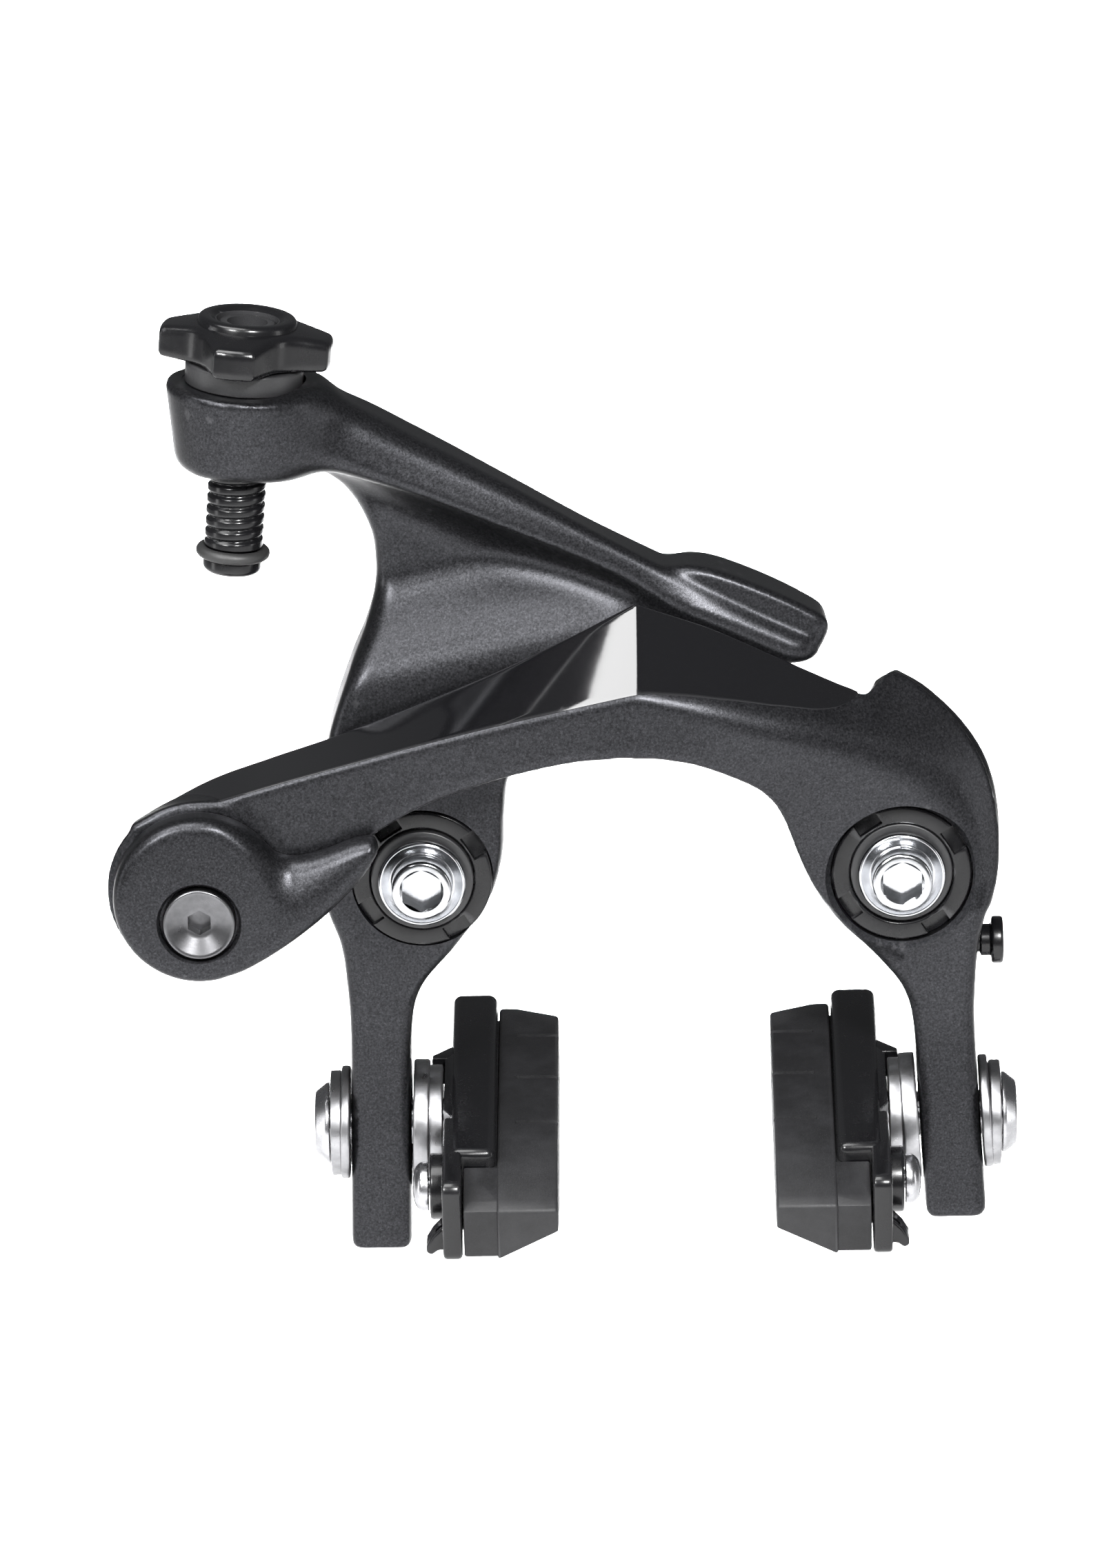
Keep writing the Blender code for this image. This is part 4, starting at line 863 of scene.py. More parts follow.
def spring_groove(x, way):
    coil_r = SLEEVE_R + 0.5 + SPRING_WIRE_R
    near, far = sorted((x, x - way * 8.0))
    return block("groove", (near, -(ARM_BACK + SPRING_POCKET_DEEP), -coil_r - 3.2), (far, 5, -coil_r + 1.6))


def shoe_slot(x):
    """The slot for the shoe bolt, through the leg."""
    radius = SHOE_BOLT_R + 0.35
    turn = Matrix.Rotation(math.pi / 2, 4, "Y") @ Matrix.Rotation(math.pi / 2, 4, "Z")
    place = Matrix.Translation((x, -SLOT_FORWARD, SHOE_Z)) @ turn
    ends = arc((SLOT_TRAVEL, 0), radius, -90, 90, 25) + arc((-SLOT_TRAVEL, 0), radius, 90, 270, 25)
    return prism("shoe_slot", [(-forward, z) for z, forward in ends], -12, 12, place)


# ---------------------------------------------------------------- left arm


def adjuster_place():
    lean = math.radians(ADJUSTER_LEAN)
    return at(ADJUSTER_X, ADJUSTER_FORWARD, ARM_RISE, (math.sin(lean), 0, math.cos(lean)))


def beam_stations():
    rows = [
        ((-56, 20.5, 57.4), (-56, 20.0, 65.4), (-56, 10.5, 64.6), (-56, 10.5, 57.4)),
        ((-48, 22.3, 57.8), (-47, 21.0, 66.1), (-46.5, 10.0, 65.4), (-48, 10.0, 56.6)),
        ((-41, 21.0, 56.4), (-40, 19.3, 64.8), (-39.5, 8.6, 64.0), (-41, 8.6, 53.2)),
        ((-31, 19.4, 52.9), (-30.5, 17.8, 59.4), (-30, 7.0, 58.6), (-31, 7.0, 48.6)),
        ((-20, 18.0, 48.0), (-19, 16.6, 52.9), (-18.6, 6.0, 51.6), (-20, 6.0, 43.4)),
        ((-10, 16.6, 43.2), (-9, 15.9, 46.9), (-8.6, 5.0, 45.4), (-10, 5.0, 38.4)),
        ((0, 15.8, 38.0), (0.6, 15.4, 41.3), (0.8, 4.8, 40.3), (0, 4.6, 33.4)),
        ((8, 15.7, 34.0), (8.6, 15.3, 36.8), (9.2, 5.0, 35.8), (8, 4.4, 30.0)),
        ((15.5, 15.6, 30.4), (16.4, 15.2, 32.6), (17, 5.0, 31.6), (15.5, 4.4, 27.2)),
        ((23.4, 15.4, 26.8), (25.4, 15.0, 28.6), (25.8, 5.0, 27.8), (23.4, 4.6, 25.0)),
    ]
    return [[drawn(*corner) for corner in row] for row in rows]


def beam_radii():
    lower = (3.4, 3.4, 2.6, 1.4, 0.9, 0.8, 0.8, 0.8, 0.8, 0.8)
    upper = (2.6, 4.6, 4.6, 3.6, 2.8, 2.0, 1.4, 1.2, 1.2, 1.2)
    return [(low, high, 2.4, 2.0) for low, high in zip(lower, upper)]


def roller_pad_stations():
    """The raised end of the beam, which the roller runs behind."""
    rows = [
        ((0.9, 14.9, 37.0), (1.1, 14.7, 41.0), (1.3, 4.9, 40.3), (0.9, 4.9, 35.6)),
        ((4.2, 15.0, 36.0), (4.4, 14.8, 41.2), (4.8, 4.6, 40.6), (4.2, 4.6, 33.0)),
        ((8.0, 15.1, 34.2), (8.6, 14.9, 40.2), (9.2, 4.5, 39.5), (8.0, 4.5, 30.4)),
        ((15.5, 15.1, 30.8), (16.4, 14.9, 36.9), (17, 4.5, 35.9), (15.5, 4.5, 27.6)),
        ((23.6, 15.1, 27.4), (25.6, 14.7, 32.0), (26, 4.7, 30.3), (23.6, 4.7, 25.6)),
    ]
    return [[drawn(*corner) for corner in row] for row in rows]


def web_stations():
    """The web's left and right corners as x, z pairs, then how far forward its left edge and its face are."""
    rows = [
        (-45.0, 57.0, 18.0, 30.0, WEB_FACE, WEB_FACE),
        (-39.6, 50.0, 13.0, 27.0, WEB_FACE, WEB_FACE),
        (-36.9, 44.6, 4.0, 26.4, WEB_FACE, WEB_FACE),
        (-36.3, 40.4, -2.0, 24.6, WEB_FACE, WEB_FACE),
        (-36.5, 36.4, -7.0, 22.8, WEB_FACE, WEB_FACE),
        (-37.8, 32.0, -11.0, 20.6, WEB_FACE, WEB_FACE),
        (-39.9, 27.0, -15.0, 17.4, WEB_FACE, WEB_FACE),
        (-42.8, 18.0, -19.2, 13.8, 15.6, WEB_FACE),
        (-43.9, 8.0, -20.2, 8.0, LEFT_FACE, LEFT_FACE),
        (-44.2, 0.0, -20.6, 2.2, LEFT_FACE, LEFT_FACE),
        (-43.4, -5.0, -22.4, -3.6, LEFT_FACE, LEFT_FACE),
        (-41.8, -9.8, -26.8, -9.8, LEFT_FACE, LEFT_FACE),
        (-41.1, -16.0, -31.5, -15.6, 15.9, 15.9),
    ]
    for inner_x, outer_x, z in leg_rows(-1, LEFT_LEG_LEAN, 0):
        rows.append((outer_x, z, inner_x, z, LEG_FACE, LEG_FACE))
    stations = []
    for n, (left_x, left_z, right_x, right_z, edge, face) in enumerate(rows):
        back = 3.2 if n < 4 else (LEG_BACK if n > 12 else ARM_BACK)
        stations.append([
            leg_place(left_x, edge, left_z),
            leg_place((left_x + right_x) / 2, face, (left_z + right_z) / 2),
            leg_place(right_x, face, right_z),
            leg_place(right_x, back, right_z),
            leg_place(left_x, back, left_z),
        ])
    return stations


def scooped(field, box):
    """Cut the web's face back under the beam, with one hollow slope across it."""
    x, y, z = places(box, VOXEL)
    depth = WEB_FACE - WEB_HOLLOW * smooth_step(z - 36 - 0.22 * (x + 30), -11.0, 4.5)
    return -blended(-field, (y + depth) * 0.72, 2.4)


def roller_track():
    low, high = -math.radians(1), math.radians(11)
    half = ROLLER_R + 0.35
    path = []
    for i in range(25):
        angle = low + (high - low) * i / 24
        sine, cosine = math.sin(angle), math.cos(angle)
        x = 2 * PIVOT_X - PIVOT_X * cosine + ROLLER_Z * sine
        z = PIVOT_X * sine + ROLLER_Z * cosine
        path.append((x * cosine + z * sine - PIVOT_X, z * cosine - x * sine))
    upper = [(x, z + half) for x, z in path]
    lower = [(x, z - half) for x, z in path]
    ends = arc(path[-1], half, 90, -90, 19)[1:-1], arc(path[0], half, 270, 90, 19)[1:-1]
    outline = upper + ends[0] + lower[::-1] + ends[1]
    forward = Matrix.Rotation(math.pi / 2, 4, "X")
    return prism("roller_track", outline, ARCH_BACK - FIT_GAP - 7.0, ARCH_BACK + 5, forward)


def left_arm():
    beam = loft("beam", beam_stations(), beam_radii())
    pad = loft("roller_pad", roller_pad_stations(), (0.8, 1.3, 1.6, 1.2))
    web = loft("web", web_stations(), (2.6, 8.0, 1.2, 1.2, 2.0))
    stop = adjuster_place()
    half = BOSS_HEIGHT / 2
    boss = turned(
        "boss",
        [(0, half), (BOSS_TOP_R, half, 0.9), (BOSS_BOTTOM_R, -half, 1.6), (0, -half)],
        stop,
    )
    box = grid_box([beam, web, boss, pad])
    field = blended(distances(beam, box, VOXEL), distances(boss, box, VOXEL), 5.5)
    field = blended(field, scooped(distances(web, box, VOXEL), box), 4.5)
    field = blended(field, distances(pad, box, VOXEL), 0.8)
    field = ended(field, box, VOXEL, (21.5, 0, 30.8), (0.909, 0, -0.417), 2.6)
    field = ended(field, box, VOXEL, (0, 0, LEFT_LEG_END), (0, 0, -1), 1.0)
    obj = meshed("left_arm_shape", field, box, VOXEL)
    cutters = [
        cylinder("adjuster_hole", STUD_R + 0.25, -half - 4, half + 9, stop),
        turned(
            "dial_room",
            [
                (0, half + 20),
                (DIAL_TIP_R + 0.8, half + 20),
                (DIAL_TIP_R + 0.8, half + COLLAR_HEIGHT),
                (COLLAR_R + 0.3, half + COLLAR_HEIGHT),
                (COLLAR_R + 0.3, half - 0.02),
                (0, half - 0.02),
            ],
            stop,
            soft=False,
        ),
        *pivot_cutters(-PIVOT_X, LEFT_FACE),
        spring_groove(-PIVOT_X, 1),
        shoe_slot(-LEG_IN_X - LEG_THICK / 2),
        roller_track(),
    ]
    cut(obj, *cutters, solver="MANIFOLD")
    piece(obj, "left_arm", PAINT, LEFT)


# ---------------------------------------------------------------- cable adjuster


def star_outline():
    points = []
    step = 360 / DIAL_LOBES
    half_tip = math.degrees(math.asin(DIAL_TIP_WIDTH / 2 / DIAL_TIP_R))
    flank = 22
    for lobe in range(DIAL_LOBES):
        middle = -90 + DIAL_TURN + lobe * step
        for k in range(5):
            points.append((DIAL_TIP_R, middle + half_tip * (k - 2) / 2))
        for k in range(1, flank):
            u = k / flank
            dip = (DIAL_TIP_R - DIAL_VALLEY_R) * (1 - abs(2 * u - 1) ** 2.2)
            points.append((DIAL_TIP_R - dip, middle + half_tip + (step - 2 * half_tip) * u))
    return [(r * math.cos(math.radians(a)), r * math.sin(math.radians(a))) for r, a in points]


def adjuster():
    stop = adjuster_place()
    base = BOSS_HEIGHT / 2
    collar = [
        (STUD_R + 0.3, base + 1),
        (STUD_R + 0.3, base + COLLAR_HEIGHT, 0.1),
        (COLLAR_R, base + COLLAR_HEIGHT, 0.5),
        (COLLAR_R - 0.1, base + 0.1, 0.2),
        (STUD_R + 0.3, base + 0.1, 0.1),
    ]
    obj = turned("collar", collar, stop)
    piece(obj, "adjuster_collar", SATIN, LEFT)

    low = base + COLLAR_HEIGHT + 0.15
    top = low + DIAL_THICK + HUB_HEIGHT
    outline = star_outline()
    reach = DIAL_TIP_R + 1
    box = np.array([-reach, -reach, low - 1]), np.array([reach, reach, low + DIAL_THICK + 1])
    x, y, z = places(box, FINE_VOXEL)
    flat_x, flat_y = np.broadcast_arrays(x[:, :, 0], y[:, :, 0])
    edge = outline_distance(outline, flat_x.astype(float), flat_y.astype(float))
    fall = np.clip(np.hypot(flat_x, flat_y) - HUB_R, 0, None) * 0.2
    above = (z - (low + DIAL_THICK - fall[:, :, None])) * 0.98
    field = -blended(-edge[:, :, None] * np.ones_like(z), -above, 1.0)
    field = -blended(-field, -(low - z), 1.0)
    dial = meshed("dial_shape", field.astype(np.float32), box, FINE_VOXEL, smoothing=2)
    dial.data.transform(stop)
    hub = turned(
        "hub",
        [
            (0, top - 0.5),
            (STUD_R + 0.4, top - 0.5, 0.1),
            (STUD_R + 1.1, top - 0.02, 0.3),
            (HUB_R - 0.3, top, 0.7),
            (HUB_R, low + DIAL_THICK - 0.6, 0.2),
            (HUB_R, low + 1),
            (0, low + 1),
        ],
        stop,
    )
    join(dial, hub)
    cut(dial, cylinder("dial_hole", STUD_R + 0.25, low - 3, top + 3, stop))
    piece(dial, "adjuster_dial", BLACK, "adjuster_dial_group", sharp=25)

    stud_top = top - 0.8
    foot = -base - STUD_BELOW_BOSS
    ring_z = foot + 2.6
    body = bmesh.new()
    rows = []
    thread_top, thread_low = 1 - base, ring_z + 1.2
    heights = np.linspace(thread_top, thread_low, int((thread_top - thread_low) / 0.09))
    around = STEPS
    outer = [(STUD_R - 0.35, stud_top), (STUD_R, stud_top - 0.35)]
    outer += [(None, float(z)) for z in heights]
    outer += softened([
        (STUD_R, ring_z + 1.1),
        (STUD_R, ring_z + 0.9, 0.1),
        (STUD_R - 0.6, ring_z + 0.75, 0.1),
        (STUD_R - 0.6, ring_z - 0.75, 0.1),
        (STUD_R, ring_z - 0.9, 0.1),
        (STUD_R, foot + 0.5, 0.3),
        (STUD_R - 0.5, foot, 0.2),
        (STUD_BORE_R, foot),
    ])
    outer += [(STUD_BORE_R, stud_top)]
    for radius, z in outer:
        row = []
        for k in range(around):
            angle = 2 * math.pi * k / around
            r = radius
            if r is None:
                wave = 0.5 - 0.5 * math.cos(2 * math.pi * ((thread_top - z) / THREAD_PITCH + k / around))
                fade = min(1, (thread_top - z) / 1.0, (z - thread_low) / 0.8)
                r = STUD_R - THREAD_DEPTH * wave**3 * max(0, fade)
            row.append(body.verts.new((r * math.cos(angle), r * math.sin(angle), z)))
        rows.append(row)
    rows.append(rows[0])
    for row, following in zip(rows, rows[1:]):
        for k in range(around):
            body.faces.new((row[k], row[(k + 1) % around], following[(k + 1) % around], following[k]))
    bmesh.ops.transform(body, matrix=stop, verts=body.verts)
    obj = bmesh_object("stud", body)
    piece(obj, "adjuster_stud", BLACK, "adjuster_stud_group")

    circle = arc((STUD_R + 0.25, ring_z), O_RING_R, 90, -270, 25)[:-1]
    obj = turned("o_ring", circle, stop, soft=False)
    piece(obj, "adjuster_o_ring", SEAL_RUBBER, "adjuster_stud_group")


# ---------------------------------------------------------------- right arm


def arch_rows():
    """Sections of the arch: face below, ridge, back top, back below, then the ridge's rounding."""
    front, back = ARCH_FACE, ARCH_BACK
    return [
        ((-67.2, front, 7.6), (-67.6, front, 11.6), (-67.8, 21.0, 10.2), (-67.2, 21.0, 7.4), 0.7),
        ((-58.0, front, 3.0), (-57.5, front, 14.2), (-58.4, 18.6, 14.9), (-58.0, 18.0, 3.0), 0.7),
        ((-48.5, front, 1.5), (-49.0, front, 16.7), (-50.2, back, 17.4), (-48.5, back, 1.5), 0.7),
        ((-40.6, front, 7.0), (-40.0, front, 19.1), (-41.6, back, 20.3), (-40.6, back, 7.0), 0.7),
        ((-31.6, front, 12.7), (-30.4, front, 21.6), (-31.0, back, 24.4), (-31.0, back, 12.9), 0.7),
        ((-22.0, front, 16.3), (-20.6, front, 23.9), (-20.8, back, 28.6), (-21.6, back, 16.6), 0.7),
        ((-12.6, front, 18.5), (-11.4, front, 25.8), (-11.4, back, 33.1), (-12.4, back, 18.9), 0.7),
        ((-6.6, front, 19.1), (-5.6, front, 27.0), (-5.6, back, 36.1), (-6.6, back, 19.6), 0.8),
        ((-4.2, front, 19.2), (-3.5, front, 27.4), (-3.5, back, 37.2), (-4.2, back, 19.7), 0.8),
        ((-3.2, front, 19.1), (-2.8, front, 27.5), (-2.8, back, 37.5), (-3.2, back, 19.7), 0.9),
        ((-2.4, front, 19.1), (-2.1, front, 27.4), (-2.1, back, 37.3), (-2.4, back, 19.7), 0.9),
        ((0.2, 26.9, 18.9), (0.2, 26.9, 27.0), (0.4, back, 36.4), (0.2, back, 19.6), 1.1),
        ((5.2, 26.4, 17.7), (7.0, 26.4, 25.3), (7.0, back, 34.0), (5.6, back, 18.6), 1.7),
        ((11.4, 24.8, 14.6), (14.6, 25.3, 22.8), (14.4, back, 30.5), (12.0, back, 15.6), 2.5),
        ((14.0, 23.5, 12.2), (19.6, 24.2, 21.2), (19.6, 16.8, 28.0), (14.6, back, 13.0), 3.2),
        ((15.4, 22.2, 9.8), (23.4, 23.1, 19.7), (24.4, 16.4, 25.7), (16.0, 14.0, 10.0), 3.6),
        ((16.3, 21.2, 7.4), (25.6, 22.4, 18.7), (27.0, 16.0, 24.9), (17.0, 12.0, 7.6), 3.8),
        ((17.0, 20.4, 5.2), (27.6, 21.7, 17.7), (30.3, 12.4, 26.5), (17.8, 8.0, 5.4), 4.0),
        ((18.2, 19.4, 1.8), (30.6, 20.7, 16.0), (34.8, 12.3, 23.8), (19.0, 8.0, 2.0), 4.2),
        ((19.6, 18.4, -1.4), (34.2, 19.5, 13.6), (39.2, 12.8, 19.2), (20.4, 8.0, -1.2), 4.2),
        ((21.6, 17.8, -4.4), (37.2, 18.6, 10.6), (42.3, 13.4, 13.8), (22.6, 8.0, -4.2), 4.0),
        ((24.4, 17.4, -7.0), (39.4, 17.9, 6.4), (43.8, 14.0, 8.0), (25.4, 8.0, -6.8), 3.6),
        ((28.0, RIGHT_FACE, -9.0), (40.8, 17.4, 0.8), (44.0, 14.4, 1.6), (29.0, 8.0, -8.8), 3.0),
        ((31.0, RIGHT_FACE, -11.0), (40.4, RIGHT_FACE, -4.8), (42.8, 14.8, -4.6), (31.6, 8.0, -10.8), 2.4),
    ]


def arch_rails():
    rows = arch_rows()
    corners = [[drawn(*corner) for corner in row[:4]] for row in rows]
    return corners, [(1.0, row[4], 1.2, 1.2) for row in rows]


def block_stations():
    rows = [
        (27.9, 23.6, 30.6, 26.2, 11.8, 8.0),
        (26.0, 19.4, 34.6, 23.6, 11.6, 6.0),
        (22.6, 14.6, 39.2, 19.0, 12.0, 4.0),
        (19.6, 9.6, 42.3, 13.8, 12.6, ARM_BACK),
        (18.2, 4.2, 43.7, 6.8, 13.6, ARM_BACK),
        (19.4, -1.8, 43.6, 0.6, 14.6, ARM_BACK),
        (23.6, -7.0, 42.2, -4.8, RIGHT_FACE, ARM_BACK),
        (28.0, -11.8, 41.0, -10.0, 16.8, ARM_BACK),
        (31.2, -16.4, 40.5, -16.0, 16.2, ARM_BACK),
    ]
    for inner_x, outer_x, z in leg_rows(1, RIGHT_LEG_LEAN, 3.2):
        rows.append((inner_x, z, outer_x, z, LEG_FACE, LEG_BACK))
    stations = []
    for inner_x, inner_z, outer_x, outer_z, face, back in rows:
        fall = 0.3 * (face - back) if outer_z > 10 else 0
        stations.append([
            leg_place(inner_x, face, inner_z),
            leg_place(outer_x, face, outer_z),
            leg_place(outer_x, back, outer_z - fall),
            leg_place(inner_x, back, inner_z),
        ])
    return stations


def inside_panel(point):
    """How far a point of the upper facet lies inside the panel: behind the ridge, left of the hump."""
    ridge = [row[1] for row in arch_rows()[:-1]]
    front = np.interp(point.x, [corner[0] for corner in ridge], [corner[1] for corner in ridge])
    margin = np.interp(point.x, (-3, 8, 16, 22, 30), (0.35, 1.5, 2.5, 2.9, 3.1))
    behind = front - margin + point.y
    past = point.x - 21.7
    beside = point.z - 23.2 - 0.16 * past - 0.035 * past * past if past > -4 else 99
    reach = 1.6
    near = max(reach - abs(behind - beside), 0) / reach
    return min(behind, beside) - near * near * reach / 4


def panel():
    """The glossy panel: a skin of lacquer on the arch's upper facet, from the ridge over its back edge."""
    rails = Rails(*arch_rails())
    samples, steps, across = 460, 8, 22
    body = bmesh.new()
    rows = []
    for i in range(samples + 1):
        section = rails.section(0.012 + 0.7 * i / samples, steps)
        start, end = section[2 * steps + 1], section[2 * steps + 2]
        facet = section[steps + 1 : 2 * steps + 2] + [start.lerp(end, k / 60) for k in range(1, 61)]
        depth = [inside_panel(p) for p in facet]
        first = next((k for k, value in enumerate(depth) if value > 0), None)
        if not first:
            break
        share = depth[first - 1] / (depth[first - 1] - depth[first])
        line = [facet[first - 1].lerp(facet[first], share)] + facet[first:]
        lengths = np.cumsum([0] + [(b - a).length for a, b in zip(line, line[1:])])
        stops = np.linspace(0, lengths[-1], across + 1)
        line = [Vector(np.interp(stop, lengths, [p[k] for p in line]) for k in range(3)) for stop in stops]
        over = section[2 * steps + 2 : 3 * steps + 3]
        rows.append([body.verts.new(p) for p in line + over[1:]])
    for row, following in zip(rows, rows[1:]):
        for k in range(len(row) - 1):
            body.faces.new((row[k], row[k + 1], following[k + 1], following[k]))
    bmesh.ops.remove_doubles(body, verts=body.verts, dist=0.0005)
    bmesh.ops.recalc_face_normals(body, faces=body.faces)
    if sum((f.normal.z * f.calc_area() for f in body.faces)) < 0:
        bmesh.ops.reverse_faces(body, faces=body.faces)
    body.normal_update()
    for vert in body.verts:
        vert.co += vert.normal * 0.07
    mesh = bpy.data.meshes.new("panel")
    body.to_mesh(mesh)
    body.free()
    obj = bpy.data.objects.new("panel", mesh)
    WORK.objects.link(obj)
    skin = obj.modifiers.new("skin", "SOLIDIFY")
    skin.thickness = 0.25
    skin.offset = -1
    piece(obj, "glossy_panel", LACQUER, RIGHT, sharp=40, added=True)


def right_arm():
    arch = loft("arch", *arch_rails(), samples=300)
    body = loft("block", block_stations(), (1.2, 2.0, 1.2, 1.0))
    end_place = at(LEVER_X, 0, LEVER_Z)
    end = turned(
        "end",
        [(0, ARCH_FACE), (END_R, ARCH_FACE, 0.9), (END_BACK_R, ARCH_BACK, 0.9), (0, ARCH_BACK)],
        end_place,
    )
    box = grid_box([arch, body, end])
    field = blended(distances(arch, box, VOXEL), distances(body, box, VOXEL), 1.6)
    field = blended(field, distances(end, box, VOXEL), 1.0)
    field = ended(field, box, VOXEL, (0, 0, RIGHT_LEG_END), (0, 0, -1), 1.6)
    obj = meshed("right_arm_shape", field, box, VOXEL)
    screw = at(CENTRING_X, CENTRING_FORWARD, CENTRING_Z, (1, 0, 0))
    cutters = [
        cylinder("lever_hub_bore", HUB_SHAFT_R + RUNNING_GAP, ARCH_BACK - 5, ARCH_FACE + 5, end_place),
        *pivot_cutters(PIVOT_X, RIGHT_FACE),
        spring_groove(PIVOT_X, -1),
        shoe_slot(LEG_IN_X + LEG_THICK / 2),
        cylinder("centring_hole", 1.8, -8, 8, screw),
        cylinder("roller_pin_hole", ROLLER_PIN_R + 0.1, ARCH_BACK - 4, ARCH_BACK + 5.2, at(0, 0, ROLLER_Z)),
    ]
    cut(obj, *cutters, solver="MANIFOLD")
    piece(obj, "right_arm", PAINT, RIGHT)


def centring_screw():
    place = at(CENTRING_X - 0.1, CENTRING_FORWARD, CENTRING_Z, (1, 0, 0))
    tip = 3.4
    profile = [
        (0, tip),
        (3.1, tip, 0.45),
        (3.1, tip - 1.5, 0.3),
        (2.1, tip - 1.7, 0.15),
        (2.1, 0.5, 0.1),
        (1.6, 0.3),
        (1.6, -4.2, 0.2),
        (0, -4.8),
    ]
    obj = turned("centring", profile, place)
    cut(obj, hex_cutter("hex", 2.0, tip - 1.2, tip + 1, place))
    piece(obj, "centring_screw", BLACK, "centring_screw_group")


def roller():
    place = at(0, 0, ROLLER_Z)
    back = ARCH_BACK - FIT_GAP - ROLLER_LENGTH
    pin = [
        (0, ARCH_BACK + 5),
        (ROLLER_PIN_R, ARCH_BACK + 5, 0.2),
        (ROLLER_PIN_R, back - 0.2),
        (ROLLER_PIN_R + 0.7, back - 0.2, 0.15),
        (ROLLER_PIN_R + 0.7, back - 0.8, 0.2),
        (0, back - 0.8),
    ]
    obj = turned("pin", pin, place, 32)
    piece(obj, "roller_pin", ZINC, RIGHT)
    obj = ring_of("roller", ROLLER_R, ROLLER_PIN_R + RUNNING_GAP, back, ARCH_BACK - FIT_GAP, place, 0.4)
    piece(obj, "sync_roller", SATIN, "roller_group")


# ---------------------------------------------------------------- quick release


def lever_outline():
    disc = arc((0, 0), LEVER_R, 37, 282, 90)
    rails = [
        (2.3, -10.75),
        (6.0, -9.4),
        (11.2, -6.2),
        (16.6, -2.0),
        (20.4, 1.8),
        (22.6, 5.0),
        (23.0, 6.4),
        (22.2, 7.5),
        (19.8, 7.2),
        (16.4, 5.9),
        (12.8, 5.0),
        (10.2, 5.4),
        (8.8, 6.6),
    ]
    rails = [Vector((a, b, 0)) for a, b in rails]
    tail = [spline_point(rails, i / 90)[:2] for i in range(1, 90)]
    return [(LEVER_X + a, LEVER_Z + b) for a, b in disc + tail]


def outline_distance(outline, x, z):
    """Signed distance from points of the plane to a closed outline, negative inside."""
    points = np.array(outline)
    following = np.roll(points, -1, axis=0)
    nearest = np.full(x.shape, 1e9)
    inside = np.zeros(x.shape, bool)
    for (ax, az), (bx, bz) in zip(points, following):
        dx, dz = bx - ax, bz - az
        t = np.clip(((x - ax) * dx + (z - az) * dz) / max(dx * dx + dz * dz, 1e-12), 0, 1)
        nearest = np.minimum(nearest, np.hypot(x - ax - t * dx, z - az - t * dz))
        crosses = (az > z) != (bz > z)
        with np.errstate(divide="ignore", invalid="ignore"):
            inside ^= crosses & (x < (bx - ax) * (z - az) / (bz - az) + ax)
    return np.where(inside, -nearest, nearest)


